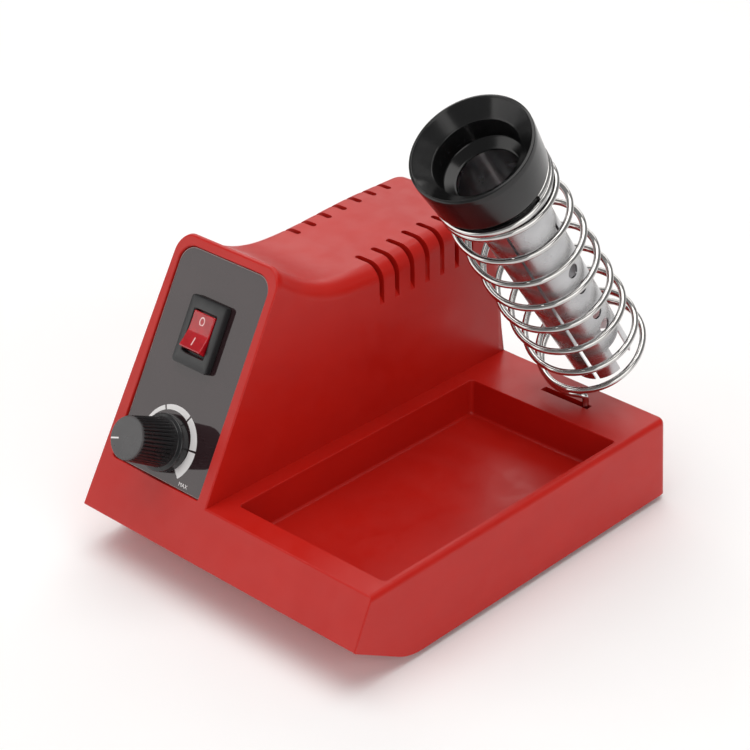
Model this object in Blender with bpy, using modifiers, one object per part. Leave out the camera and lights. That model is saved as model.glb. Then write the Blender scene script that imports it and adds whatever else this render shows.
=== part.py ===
"""Soldering iron station: a two-part moulded housing with a tray, a regulated mains supply behind a
sloping front panel, and a lift-out spring holder for the iron.

Units are metres, +Z is up, +X is to the right and the front panel faces -Y. Everything is modelled in the
station's own frame, whose origin is the front left corner of the housing's underside, and the station is
then set down with the middle of its bounding box over the world origin and its feet on Z = 0.
"""

import math

import bmesh
import bpy
from mathutils import Matrix, Vector

# Housing: the low base with the tray and the tall tower on its left.
WIDTH = 0.115
DEPTH = 0.143
DECK_HEIGHT = 0.0269
TOWER_WIDTH = 0.0479
PANEL_TOP = 0.0905
ROOF_HEIGHT = 0.0796
ROOF_DIP = 0.0778
WALL = 0.0022
FRONT_WALL = 0.004
LEFT_DRAFT = 0.038
RIGHT_DRAFT = 0.042
TOWER_DRAFT = 0.017
REAR_DRAFT = 0.035
ROOF_EDGE_RADIUS = 0.0055
REAR_EDGE_RADIUS = 0.0028
REAR_ROOF_RADIUS = 0.007
ROOF_DIP_Y = DEPTH - 0.063
ROOF_LEVEL_Y = DEPTH - 0.0265
SWEEP_POWER = 2.58
PANEL_LIP = 0.0012
CROWN_REACH = 0.013

# Front: one plane that leans back, standing on a raised chin.
FRONT_LEAN = math.radians(28.65)
CHIN_HEIGHT = 0.0126
CHIN_DEPTH = 0.022
CHIN_RADIUS = 0.02

# Tray sunk into the base.
TRAY_LEFT = TOWER_WIDTH + 0.0052
TRAY_RIGHT = WIDTH - 0.004
TRAY_FRONT = 0.0159
TRAY_REAR = DEPTH - 0.0235
TRAY_FLOOR = 0.0145
TRAY_CORNER = 0.003

# Vents: two rows of slots over the roof edges.
VENT_COUNT = 7
VENT_PITCH = 0.0069
VENT_FIRST = DEPTH - 0.059
VENT_WIDTH = 0.002
VENT_INSET = 0.012
VENT_SPREAD = 0.0114
VENT_FALL = 0.0125

# Front panel, measured across and up the slope from its lower left corner.
LABEL_LEFT = 0.0058
LABEL_RIGHT = TOWER_WIDTH - 0.0044
LABEL_LOW = 0.0174
LABEL_HIGH = 0.086
LABEL_CORNER = 0.0055
LABEL_POCKET = 0.0016
LABEL_THICK = 0.0005
CONTROL_X = (LABEL_LEFT + LABEL_RIGHT) / 2
SWITCH_UP = 0.0627
KNOB_UP = 0.0286

# Rocker switch.
BEZEL_WIDTH = 0.015
BEZEL_LENGTH = 0.021
BEZEL_HEIGHT = 0.002
BEZEL_BORDER = 0.0011
SWITCH_DEPTH = 0.0135
SWITCH_POCKET = 0.0085
ROCKER_WIDTH = 0.0098
ROCKER_LENGTH = 0.0126
ROCKER_HEIGHT = 0.0039
ROCKER_SKIRT = 0.003
ROCKER_WALL = 0.001
ROCKER_PIVOT = 0.001
ROCKER_TILT = math.radians(9.5)
TRUNNION_RADIUS = 0.0012
LAMP_RADIUS = 0.0014
LAMP_LENGTH = 0.0042
TERMINAL_SIZE = (0.0063, 0.0008, 0.008)
TERMINAL_PITCH = 0.0063

# Potentiometer and its knob.
SHAFT_RADIUS = 0.0028
BUSHING_RADIUS = 0.0039
BUSHING_LENGTH = 0.0072
POT_RADIUS = 0.0082
POT_DEPTH = 0.009
POT_BORE = 0.0063
LUG_SIZE = (0.0026, 0.0065, 0.0008)
LUG_PITCH = 0.005
LUG_DEPTH = 0.0042
NUT_RADIUS = 0.0056
NUT_HEIGHT = 0.002
WASHER_HEIGHT = 0.0005
KNOB_RADIUS = 0.0088
KNOB_WAIST = 0.0074
KNOB_TOP_RADIUS = 0.0067
KNOB_WELL = 0.0046
KNOB_WEB = 0.004
KNOB_CAP_RADIUS = 0.0058
KNOB_HEIGHT = 0.0178
KNOB_LIFT = 0.0004
KNOB_CAP_HEIGHT = 0.0012
KNOB_SKIRT_HEIGHT = 0.003

# Bottom cover, feet and fasteners.
COVER_THICK = 0.0022
COVER_FRONT = 0.028
COVER_MARGIN = 0.0026
FOOT_RADIUS = 0.0055
FOOT_HEIGHT = 0.0018
FOOT_INSET_X = 0.013
FOOT_INSET_Y = 0.01
SCREW_RADIUS = 0.0014
SCREW_LENGTH = 0.0085
SCREW_HEAD_RADIUS = 0.0027
SCREW_HEAD_HEIGHT = 0.0011
BOSS_RADIUS = 0.0033
RIB = 0.0016
BOSS_HEIGHT = 0.0125
SCREW_LEFT = 0.0066
SCREW_RIGHT = WIDTH - 0.015
SCREW_FRONT = 0.046
SCREW_REAR = DEPTH - 0.019

# Circuit board: a phase-control regulator on posts behind the front panel.
BOARD_LEFT = 0.0106
BOARD_RIGHT = TOWER_WIDTH - 0.0069
BOARD_FRONT = DEPTH - 0.083
BOARD_REAR = DEPTH - 0.013
BOARD_HEIGHT = 0.0078
BOARD_THICK = 0.0016
POST_RADIUS = 0.0032
POST_INSET = 0.0042

# Parts on the board, placed from its front left corner, with heights above it.
SINK_PLACE = (0.0095, 0.009)
SINK_SIZE = (0.019, 0.002, 0.023)
FIN_COUNT = 4
FIN_PITCH = 0.0059
FIN_SIZE = (0.0013, 0.007, 0.0205)
FIN_LIFT = 0.002
TRIAC_INSET = 0.0045
TRIAC_SIZE = (0.01, 0.0045, 0.009)
TRIAC_LIFT = 0.004
TRIAC_OVERLAP = 0.001
TAB_THICK = 0.0013
TAB_HEIGHT = 0.0075
LEG_COUNT = 3
LEG_PITCH = 0.0025
LEG_SIZE = 0.0008
FILM_PLACE = (0.0185, 0.036)
FILM_SIZE = (0.008, 0.017, 0.014)
FILM_ROUNDING = 0.001
CHOKE_PLACE = (0.0225, 0.0275)
CHOKE_BORE = 0.0035
CHOKE_THICK = 0.0042
CHOKE_HEIGHT = 0.005
FUSE_PLACE = (0.0065, 0.024)
FUSE_RADIUS = 0.0025
FUSE_LENGTH = 0.02
FUSE_LIFT = 0.0056
CLIP_INSET = 0.0005
CLIP_SIZE = (0.007, 0.004, 0.0074)
CLIP_MOUTH = 0.0044
RESISTOR_PLACES = ((0.013, 0.03), (0.0135, 0.048))
RESISTOR_RADIUS = 0.0012
RESISTOR_LENGTH = 0.0062
DIAC_PLACE = (0.0288, 0.045)
DIAC_RADIUS = 0.0009
DIAC_LENGTH = 0.0036
AXIAL_LIFT = 0.0004
AXIAL_REACH = 0.0016
AXIAL_LEAD_RADIUS = 0.0004
AXIAL_LEG_RADIUS = 0.00034
TERMINALS_LEFT = 0.002
TERMINALS_REAR = 0.0025
TERMINALS_SIZE = (0.02, 0.008, 0.01)
CLAMP_COUNT = 4
CLAMP_FIRST = 0.0025
CLAMP_PITCH = 0.005
CLAMP_RADIUS = 0.0014
CLAMP_HEIGHT = 0.0035
CLAMP_DEPTH = 0.005
CLAMP_SCREW_INSET = 0.003
WIRE_LEAD_RADIUS = 0.0009

# Cable outlets in the rear wall.
OUTLET_HEIGHT = 0.021
MAINS_X = 0.0145
IRON_LEAD_X = TOWER_WIDTH - 0.0144
MAINS_CORD = 0.0065
IRON_CORD = 0.0048
OUTLET_SLEEVE = 0.0018
OUTLET_FLANGE = 0.0018
OUTLET_RIM = 0.0022
OUTLET_REACH = 0.0048

# Iron holder: a coil spring of wire carrying a funnel and a rolled tube.
HOLDER_ANGLE = math.radians(55)
MOUTH = (WIDTH - 0.0312, DEPTH - 0.0621, 0.128)
WIRE_RADIUS = 0.00105
COIL_RADIUS = 0.0171
COIL_PITCH = 0.0123
COIL_CLOSE_PITCH = 0.0024
COIL_OPEN_TURNS = 6.8
COIL_TOP_TURNS = 1.86
COIL_END_TURNS = 1.14
COIL_START = 0.0158
COIL_STEPS = 16
FUNNEL_RADIUS = 0.019
FUNNEL_WALL = 0.001
FUNNEL_DEPTH = 0.0144
FUNNEL_SPIGOT = 0.006
FUNNEL_STEP_RADIUS = 0.0135
FUNNEL_THROAT = 0.0105
TUBE_TOP_RADIUS = 0.0113
TUBE_END_RADIUS = 0.0098
TUBE_END_SHIFT = 0.0015
TUBE_SHEET = 0.0006
TUBE_END = 0.11
TUBE_TURN = math.radians(-55)
TUBE_TWIST = math.radians(-6)
TUBE_SEAM = math.radians(1.6)
TUBE_SEAM_END = math.radians(4)
TUBE_HOLE_RADIUS = 0.0023
TUBE_HOLES = (0.0587, 0.0672, 0.0813, 0.0885)
TUBE_HOLE_TURN = math.radians(8)
TUBE_SLOT = 0.0413
TUBE_SLOT_LENGTH = 0.0036
TUBE_SLOT_WIDTH = 0.0013
TUBE_SLOT_TURN = math.radians(26)
WINDOW_LENGTH = 0.0122
WINDOW_WIDTH = 0.0068
WINDOW_TURN = math.radians(10)

# Socket in the deck that takes the foot of the wire.
SOCKET_LENGTH = 0.0187
SOCKET_RIGHT = WIDTH - 0.0228
SOCKET_LEFT = SOCKET_RIGHT - SOCKET_LENGTH
SOCKET_Y = DEPTH - 0.0123
SOCKET_DEPTH = 0.0115
SOCKET_WALL = 0.0018
FOOT_BEND = 0.0022
FOOT_ARCH = 0.0026

CLEARANCE = 0.0003
MARGIN = 0.004
ROUND_STEPS = 32
SMALL_STEPS = 16
ROOF_STEPS = 6
SWEEP_STEPS = 9


def clear_scene():
    for old in list(bpy.data.objects):
        bpy.data.objects.remove(old)


def collection(name):
    made = bpy.data.collections.new(name)
    bpy.context.scene.collection.children.link(made)
    return made


def paint(name, colour, roughness, metallic=0.0, alpha=1.0):
    material = bpy.data.materials.new(name)
    material.use_nodes = True
    shader = material.node_tree.nodes["Principled BSDF"]
    shader.inputs["Base Color"].default_value = (*colour, 1)
    shader.inputs["Roughness"].default_value = roughness
    shader.inputs["Metallic"].default_value = metallic
    shader.inputs["Alpha"].default_value = alpha
    return material


clear_scene()
PARTS = collection("soldering_iron_station")
TOOLS = collection("cutters")


def frame(name, parent, location=(0, 0, 0), rotation=(0, 0, 0)):
    """An empty that its pieces are parented to, with its axes where they are easiest to describe."""
    empty = bpy.data.objects.new(name, None)
    PARTS.objects.link(empty)
    empty.parent = parent
    empty.location = location
    empty.rotation_euler = rotation
    return empty


STATION = frame("station", None)
PANEL = frame("front_panel", STATION, (0, 0, CHIN_HEIGHT), (math.pi / 2 - FRONT_LEAN, 0, 0))
LABEL_FACE = CLEARANCE + LABEL_THICK - LABEL_POCKET
ROCKER_AXLE = frame(
    "rocker_axle", PANEL, (CONTROL_X, SWITCH_UP, -ROCKER_PIVOT), (-ROCKER_TILT, 0, 0)
)
KNOB_AXLE = frame("knob_axle", PANEL, (CONTROL_X, KNOB_UP, LABEL_FACE))
HOLDER = frame("holder_lift", STATION)
HOLDER_AXIS = frame("holder_axis", HOLDER, MOUTH, (math.pi / 2 - HOLDER_ANGLE, 0, 0))

RED = paint("red_plastic", (0.42, 0.012, 0.016), 0.38)
BLACK = paint("black_plastic", (0.02, 0.02, 0.022), 0.42)
LABEL_INK = paint("label", (0.055, 0.055, 0.06), 0.16)
CAP_GREY = paint("knob_cap", (0.09, 0.09, 0.1), 0.3)
RUBBER = paint("rubber", (0.015, 0.015, 0.015), 0.85)
LENS = paint("rocker_lens", (0.45, 0.01, 0.01), 0.2)
GLASS = paint("glass", (0.8, 0.75, 0.7), 0.08)
STEEL = paint("steel", (0.62, 0.62, 0.62), 0.28, 1.0)
CHROME = paint("plated_wire", (0.75, 0.75, 0.76), 0.14, 1.0)
ALUMINIUM = paint("aluminium", (0.72, 0.72, 0.73), 0.34, 1.0)
BRASS = paint("brass", (0.78, 0.58, 0.28), 0.3, 1.0)
LAMINATE = paint("laminate", (0.45, 0.3, 0.1), 0.5)
FILM = paint("capacitor_case", (0.4, 0.05, 0.03), 0.4)
FERRITE = paint("ferrite", (0.09, 0.09, 0.1), 0.5)
CERAMIC = paint("resistor_coat", (0.35, 0.45, 0.55), 0.45)
INSULATION = paint("wire_insulation", (0.03, 0.1, 0.4), 0.5)
BOARD_BLOCK = paint("terminal_block", (0.03, 0.22, 0.08), 0.45)


def put(name, mesh, parent, material=None):
    """A part where there is a material, else a helper that only cuts or joins."""
    made = bpy.data.objects.new(name, mesh)
    made.parent = parent
    if material:
        mesh.materials.append(material)
        PARTS.objects.link(made)
    else:
        TOOLS.objects.link(made)
        made.hide_render = True
        made.display_type = "WIRE"
    return made


def finish(name, shape, parent, material):
    mesh = bpy.data.meshes.new(name)
    shape.to_mesh(mesh)
    shape.free()
    mesh.shade_smooth()
    mesh.set_sharp_from_angle(angle=math.radians(35))
    return put(name, mesh, parent, material)


def block(name, low, high, parent, material=None):
    low, high = Vector(low), Vector(high)
    shape = bmesh.new()
    bmesh.ops.create_cube(shape, size=1)
    bmesh.ops.scale(shape, vec=high - low, verts=shape.verts)
    bmesh.ops.translate(shape, vec=(low + high) / 2, verts=shape.verts)
    return finish(name, shape, parent, material)


def rod(name, start, radius, length, parent, material=None, axis="Z", steps=SMALL_STEPS):
    """A round bar that begins at start and runs along +axis."""
    turn = {"X": ("Y", 90), "Y": ("X", -90), "Z": ("Z", 0)}[axis]
    shape = bmesh.new()
    bmesh.ops.create_cone(
        shape, cap_ends=True, segments=steps, radius1=radius, radius2=radius, depth=length
    )
    bmesh.ops.translate(shape, vec=(0, 0, length / 2), verts=shape.verts)
    shape.transform(Matrix.Rotation(math.radians(turn[1]), 4, turn[0]))
    bmesh.ops.translate(shape, vec=start, verts=shape.verts)
    return finish(name, shape, parent, material)


def ring(name, start, outer, inner, length, parent, material, axis="Z", steps=SMALL_STEPS):
    """A round bar with a round bore right through it."""
    made = rod(name, start, outer, length, parent, material, axis, steps)
    along = Vector([float(letter == axis) for letter in "XYZ"])
    bore_start = Vector(start) - along * MARGIN
    cut(made, rod(name + "_bore", bore_start, inner, length + 2 * MARGIN, parent, None, axis, steps))
    return made


FACING = {
    "Z": Matrix.Identity(4),
    "Y": Matrix(((1, 0, 0, 0), (0, 0, -1, 0), (0, 1, 0, 0), (0, 0, 0, 1))),
    "X": Matrix(((0, 0, 1, 0), (1, 0, 0, 0), (0, 1, 0, 0), (0, 0, 0, 1))),
}


def prism(name, outline, low, high, parent, material=None, facing="Z"):
    """A flat outline given thickness from low to high along the facing axis (along -Y for "Y")."""
    curve = bpy.data.curves.new(name, "CURVE")
    curve.dimensions = "2D"
    curve.fill_mode = "BOTH"
    curve.extrude = (high - low) / 2
    spline = curve.splines.new("POLY")
    spline.points.add(len(outline) - 1)
    for point, (across, up) in zip(spline.points, outline):
        point.co = (across, up, 0, 1)
    spline.use_cyclic_u = True
    guide = bpy.data.objects.new(name + "_outline", curve)
    TOOLS.objects.link(guide)
    graph = bpy.context.evaluated_depsgraph_get()
    filled = bpy.data.meshes.new_from_object(guide.evaluated_get(graph))
    bpy.data.objects.remove(guide)
    shape = bmesh.new()
    shape.from_mesh(filled)
    bmesh.ops.remove_doubles(shape, verts=shape.verts, dist=1e-6)
    bmesh.ops.recalc_face_normals(shape, faces=shape.faces)
    bmesh.ops.translate(shape, vec=(0, 0, (low + high) / 2), verts=shape.verts)
    shape.transform(FACING[facing])
    return finish(name, shape, parent, material)


def turned(name, profile, parent, material=None, steps=ROUND_STEPS):
    """A solid of revolution about Z. The profile lists (radius, height) down the outside, then up inside."""
    hollow = all(radius > 0 for radius, _ in profile)
    mesh = bpy.data.meshes.new(name)
    sides = [(i, i + 1) for i in range(len(profile) - 1)]
    if hollow:
        sides.append((len(profile) - 1, 0))
    mesh.from_pydata([(radius, 0, height) for radius, height in profile], sides, [])
    made = put(name, mesh, parent, material)
    screw = made.modifiers.new("Turn", "SCREW")
    screw.steps = steps
    screw.render_steps = steps
    screw.use_merge_vertices = True
    screw.merge_threshold = 1e-6
    screw.use_smooth_shade = True
    return made


def wire(name, points, radius, parent, material):
    curve = bpy.data.curves.new(name, "CURVE")
    curve.dimensions = "3D"
    curve.bevel_depth = radius
    curve.bevel_resolution = 2
    curve.use_fill_caps = True
    spline = curve.splines.new("POLY")
    spline.points.add(len(points) - 1)
    for point, place in zip(spline.points, points):
        point.co = (*place, 1)
    return put_curve(name, curve, parent, material)


def put_curve(name, curve, parent, material):
    made = bpy.data.objects.new(name, curve)
    made.parent = parent
    curve.materials.append(material)
    PARTS.objects.link(made)
    return made


def combine(target, other, operation):
    modifier = target.modifiers.new(other.name, "BOOLEAN")
    modifier.operation = operation
    modifier.object = other
    modifier.solver = "EXACT"


def cut(target, *others):
    for other in others:
        combine(target, other, "DIFFERENCE")


def join(target, *others):
    for other in others:
        combine(target, other, "UNION")


def settle(target):
    """Replaces the object's mesh by its evaluated one, so that its new edges can be chosen."""
    graph = bpy.context.evaluated_depsgraph_get()
    mesh = bpy.data.meshes.new_from_object(target.evaluated_get(graph))
    target.modifiers.clear()
    target.data = mesh


def round_edges(target, radius, weight_of, segments=3):
    """Bevels the edges whose midpoint and direction weight_of gives a weight, up to 1 for the full radius."""
    mesh = target.data
    weights = mesh.attributes.new("bevel_weight_edge", "FLOAT", "EDGE")
    for edge in mesh.edges:
        first, second = (mesh.vertices[i].co for i in edge.vertices)
        weights.data[edge.index].value = weight_of((first + second) / 2, (second - first).normalized())
    bevel = target.modifiers.new("Rounding", "BEVEL")
    bevel.limit_method = "WEIGHT"
    bevel.width = radius
    bevel.segments = segments
    bevel.use_clamp_overlap = False


def fillet(before, corner, after, radius, steps=4):
    """Points of the arc that rounds a corner of an outline."""
    before, corner, after = Vector(before), Vector(corner), Vector(after)
    back, on = (before - corner).normalized(), (after - corner).normalized()
    half = back.angle(on) / 2
    middle = corner + (back + on).normalized() * radius / math.sin(half)
    start = (corner + back * radius / math.tan(half) - middle).normalized()
    end = (corner + on * radius / math.tan(half) - middle).normalized()
    return [tuple(middle + start.slerp(end, step / steps) * radius) for step in range(steps + 1)]


def rounded_rectangle(left, low, right, high, radius, corners="all", steps=3):
    places = [(left, low), (right, low), (right, high), (left, high)]
    outline = []
    for i, corner in enumerate(places):
        sharp = corners == "upper" and corner[1] == low
        after = places[(i + 1) % 4]
        outline += [corner] if sharp else fillet(places[i - 1], corner, after, radius, steps)
    return outline


def left_x(z):
    return LEFT_DRAFT * z


def right_x(z):
    return WIDTH - RIGHT_DRAFT * z


def tower_x(z):
    return TOWER_WIDTH - TOWER_DRAFT * z


def rear_y(z):
    return DEPTH - REAR_DRAFT * z


def front_y(z, depth=0.0):
    """How far back the front plane stands at a height, once moved in by depth."""
    return math.tan(FRONT_LEAN) * (z - CHIN_HEIGHT) + depth / math.cos(FRONT_LEAN)


def front_outline(inset):
    """The base and the tower seen from the front, with every wall moved in by the inset."""
    low, deck, top = -MARGIN, DECK_HEIGHT - inset, PANEL_TOP + MARGIN
    return [
        (left_x(low) + inset, low),
        (right_x(low) - inset, low),
        (right_x(deck) - inset, deck),
        (tower_x(deck) - inset, deck),
        (tower_x(top) - inset, top),
        (left_x(top) + inset, top),
    ]


def side_outline():
    """The outside seen from the right: chin, underside, rear, roof with its dip, and the panel's lip."""
    roof_rear = (rear_y(ROOF_HEIGHT), ROOF_HEIGHT)
    level = (ROOF_LEVEL_Y, ROOF_HEIGHT)
    lip = front_y(PANEL_TOP) + PANEL_LIP
    fall, sweep = [], []
    for step in range(ROOF_STEPS):
        share = step / ROOF_STEPS
        drop = (ROOF_HEIGHT - ROOF_DIP) * share * share * (3 - 2 * share)
        fall.append((ROOF_LEVEL_Y + (ROOF_DIP_Y - ROOF_LEVEL_Y) * share, ROOF_HEIGHT - drop))
    for step in range(SWEEP_STEPS + 1):
        share = step / SWEEP_STEPS
        rise = (PANEL_TOP - ROOF_DIP) * share**SWEEP_POWER
        sweep.append((ROOF_DIP_Y + (lip - ROOF_DIP_Y) * share, ROOF_DIP + rise))
    return [
        (0, CHIN_HEIGHT),
        *fillet((0, CHIN_HEIGHT), (CHIN_DEPTH, 0), (DEPTH, 0), CHIN_RADIUS),
        (DEPTH, 0),
        *fillet((DEPTH, 0), roof_rear, level, REAR_ROOF_RADIUS),
        *fall,
        *sweep,
        (front_y(PANEL_TOP), PANEL_TOP),
    ]


def inner_side_outline():
    floor, roof = WALL, ROOF_HEIGHT - WALL
    dip, crown = ROOF_DIP - WALL, ROOF_DIP + 2 * WALL
    chin = CHIN_HEIGHT - CLEARANCE
    return [
        (front_y(chin, FRONT_WALL), chin),
        (COVER_FRONT, floor),
        (rear_y(floor) - WALL, floor),
        (rear_y(roof) - WALL, roof),
        (ROOF_LEVEL_Y, roof),
        (ROOF_DIP_Y, dip),
        (front_y(crown) + CROWN_REACH, dip),
        (front_y(crown, FRONT_WALL), crown),
    ]


def roof_weight(inset):
    """Full rounding where a tower side meets the roof, part of it down the rear corners."""

    def weight(place, along):
        x, y, z = place
        tight = 1e-5
        on_left = abs(x - left_x(z) - inset) < tight
        on_tower = abs(x - tower_x(z) + inset) < tight and z > DECK_HEIGHT
        on_right = abs(x - right_x(z) + inset) < tight and z < DECK_HEIGHT
        on_rear = abs(y - rear_y(z) + inset) < tight
        if on_rear and (on_left or on_tower or on_right):
            return REAR_EDGE_RADIUS / ROOF_EDGE_RADIUS
        ahead = abs(y - front_y(z, FRONT_WALL if inset else 0)) > tight
        high = z > ROOF_DIP - REAR_ROOF_RADIUS - WALL
        return float(ahead and high and (on_left or on_tower) and abs(along.x) < 0.5)

    return weight


def body(name, inset, outline, material=None):
    """The solid where the front view and the side view of the housing meet."""
    made = prism(name, outline, -MARGIN, WIDTH + MARGIN, STATION, material, "X")
    view = front_outline(inset)
    combine(made, prism(name + "_front", view, -DEPTH - MARGIN, MARGIN, STATION, None, "Y"), "INTERSECT")
    settle(made)
    round_edges(made, ROOF_EDGE_RADIUS - inset, roof_weight(inset))
    return made


def tray_block(name, grown):
    low = (TRAY_LEFT - grown, TRAY_FRONT - grown, TRAY_FLOOR - grown)
    high = (TRAY_RIGHT + grown, TRAY_REAR + grown, DECK_HEIGHT + MARGIN)
    made = block(name, low, high, STATION)
    round_edges(made, TRAY_CORNER, lambda place, along: float(abs(along.z) > 0.5))
    return made


def vent_cutter():
    """Both rows of slots: each runs in from a side, round-ended on the roof, and gets deeper outwards."""
    inner_end = TOWER_WIDTH - VENT_INSET
    outer_end = TOWER_WIDTH + MARGIN
    half = VENT_WIDTH / 2
    rounding = [
        (inner_end + half - half * math.sin(angle), half * math.cos(angle))
        for angle in (math.pi * step / 6 for step in range(7))
    ]
    outline = [*rounding, (outer_end, -half), (outer_end, half)]
    made = prism("vents", outline, 0, PANEL_TOP, STATION)
    slope = VENT_FALL / VENT_SPREAD
    for vertex in made.data.vertices:
        if vertex.co.z < PANEL_TOP / 2:
            vertex.co.z = ROOF_HEIGHT - WALL - CLEARANCE - slope * (vertex.co.x - inner_end)
        vertex.co.y += VENT_FIRST
    repeat = made.modifiers.new("Row", "ARRAY")
    repeat.count = VENT_COUNT
    repeat.use_relative_offset = False
    repeat.use_constant_offset = True
    repeat.constant_offset_displace = (0, VENT_PITCH, 0)
    middle = bpy.data.objects.new("tower_middle", None)
    TOOLS.objects.link(middle)
    middle.parent = STATION
    middle.location.x = TOWER_WIDTH / 2
    mirror = made.modifiers.new("Both sides", "MIRROR")
    mirror.mirror_object = middle
    mirror.use_mirror_merge = False
    return made


def screw_places():
    return [(x, y) for x in (SCREW_LEFT, SCREW_RIGHT) for y in (SCREW_FRONT, SCREW_REAR)]


COVER_LOW = 0.0002
COVER_TOP = COVER_LOW + COVER_THICK
SWITCH_HALF_X = BEZEL_WIDTH / 2 - BEZEL_BORDER
SWITCH_HALF_UP = BEZEL_LENGTH / 2 - BEZEL_BORDER


def outlets():
    return (("mains", MAINS_X, MAINS_CORD / 2), ("iron_lead", IRON_LEAD_X, IRON_CORD / 2))


def housing():
    made = body("housing", 0, side_outline(), RED)
    cavity = body("cavity", WALL, inner_side_outline())
    cut(cavity, tray_block("tray_shell", WALL))
    opening_low = (COVER_MARGIN, COVER_FRONT, -MARGIN)
    opening_high = (WIDTH - COVER_MARGIN, DEPTH - COVER_MARGIN, WALL + CLEARANCE)
    join(cavity, block("cover_opening", opening_low, opening_high, STATION))
    cut(made, cavity, tray_block("tray", 0), vent_cutter())
    for number, (x, y) in enumerate(screw_places(), 1):
        low = COVER_TOP + CLEARANCE
        join(made, rod(f"boss_{number}", (x, y, low), BOSS_RADIUS, BOSS_HEIGHT - low, STATION))
        if x < TOWER_WIDTH:
            rib_low = (left_x(low) + WALL / 2, y - RIB / 2, low + RIB)
            join(made, block(f"rib_{number}", rib_low, (x, y + RIB / 2, BOSS_HEIGHT - RIB), STATION))
        bore = SCREW_RADIUS + CLEARANCE
        depth = SCREW_LENGTH + CLEARANCE
        cut(made, rod(f"boss_bore_{number}", (x, y, -CLEARANCE), bore, depth + WALL, STATION))
    socket_low = (SOCKET_LEFT, SOCKET_Y - WIRE_RADIUS - CLEARANCE, DECK_HEIGHT - SOCKET_DEPTH)
    socket_high = (SOCKET_RIGHT, SOCKET_Y + WIRE_RADIUS + CLEARANCE, DECK_HEIGHT + MARGIN)
    wall = Vector((SOCKET_WALL, SOCKET_WALL, SOCKET_WALL))
    rim = Vector((SOCKET_WALL, SOCKET_WALL, -MARGIN - WALL / 2))
    join(made, block("socket_boss", Vector(socket_low) - wall, Vector(socket_high) + rim, STATION))
    cut(made, block("socket", socket_low, socket_high, STATION))
    pocket = rounded_rectangle(LABEL_LEFT, LABEL_LOW, LABEL_RIGHT, LABEL_HIGH, LABEL_CORNER, "upper")
    cut(made, prism("label_pocket", pocket, -LABEL_POCKET, MARGIN, PANEL))
    low = (CONTROL_X - SWITCH_HALF_X - CLEARANCE, SWITCH_UP - SWITCH_HALF_UP - CLEARANCE, -2 * FRONT_WALL)
    high = (CONTROL_X + SWITCH_HALF_X + CLEARANCE, SWITCH_UP + SWITCH_HALF_UP + CLEARANCE, MARGIN)
    cut(made, block("switch_opening", low, high, PANEL))
    place = (CONTROL_X, KNOB_UP, -2 * FRONT_WALL)
    cut(made, rod("pot_hole", place, BUSHING_RADIUS + CLEARANCE, 3 * FRONT_WALL, PANEL))
    for name, x, bore in outlets():
        place = (x, rear_y(OUTLET_HEIGHT) - 3 * WALL, OUTLET_HEIGHT)
        radius = bore + OUTLET_SLEEVE + CLEARANCE
        cut(made, rod(f"{name}_hole", place, radius, 6 * WALL, STATION, None, "Y"))
    return made


def foot_places():
    left, right = FOOT_INSET_X, WIDTH - FOOT_INSET_X
    front, rear = COVER_FRONT + FOOT_INSET_Y, DEPTH - COVER_MARGIN - FOOT_INSET_Y
    return [(x, y) for x in (left, right) for y in (front, rear)]


def board_screw_places():
    return [
        (BOARD_LEFT + POST_INSET, BOARD_FRONT + POST_INSET),
        (BOARD_RIGHT - POST_INSET, BOARD_REAR - POST_INSET),
    ]


def bottom_cover():
    gap = CLEARANCE
    low = (COVER_MARGIN + gap, COVER_FRONT + gap, COVER_LOW)
    high = (WIDTH - COVER_MARGIN - gap, DEPTH - COVER_MARGIN - gap, COVER_TOP)
    made = block("bottom_cover", low, high, STATION, BLACK)
    for number, (x, y) in enumerate(board_screw_places(), 1):
        height = BOARD_HEIGHT - CLEARANCE - COVER_LOW
        join(made, rod(f"post_{number}", (x, y, COVER_LOW + gap), POST_RADIUS, height - gap, STATION))
        bore = SCREW_RADIUS + CLEARANCE
        cut(made, rod(f"post_bore_{number}", (x, y, COVER_TOP), bore, BOARD_HEIGHT, STATION))
    for number, (x, y) in enumerate(screw_places(), 1):
        bore = SCREW_RADIUS + CLEARANCE
        sink = SCREW_HEAD_RADIUS + CLEARANCE
        cut(
            made,
            rod(f"cover_bore_{number}", (x, y, -MARGIN), bore, 2 * MARGIN, STATION),
            rod(f"cover_sink_{number}", (x, y, -MARGIN), sink, MARGIN + SCREW_HEAD_HEIGHT + gap, STATION),
        )
    for number, (x, y) in enumerate(screw_places(), 1):
        add_screw(f"cover_screw_{number}", (x, y, SCREW_HEAD_HEIGHT), SCREW_LENGTH - SCREW_HEAD_HEIGHT, 1)
    for number, (x, y) in enumerate(foot_places(), 1):
        place = (x, y, COVER_LOW - gap - FOOT_HEIGHT)
        rod(f"foot_{number}", place, FOOT_RADIUS, FOOT_HEIGHT, STATION, RUBBER, steps=24)


def add_screw(name, seat, length, upwards):
    """A pan-head screw whose head's flat seats at seat, with its shank running up or down."""
    profile = [
        (0, SCREW_HEAD_HEIGHT),
        (SCREW_HEAD_RADIUS * 0.7, SCREW_HEAD_HEIGHT),
        (SCREW_HEAD_RADIUS, SCREW_HEAD_HEIGHT * 0.5),
        (SCREW_HEAD_RADIUS, 0),
        (SCREW_RADIUS, 0),
        (SCREW_RADIUS, SCREW_RADIUS - length),
        (0, -length),
    ]
    made = turned(name, profile, STATION, STEEL, SMALL_STEPS)
    made.location = seat
    made.rotation_euler.x = math.pi if upwards > 0 else 0


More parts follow.
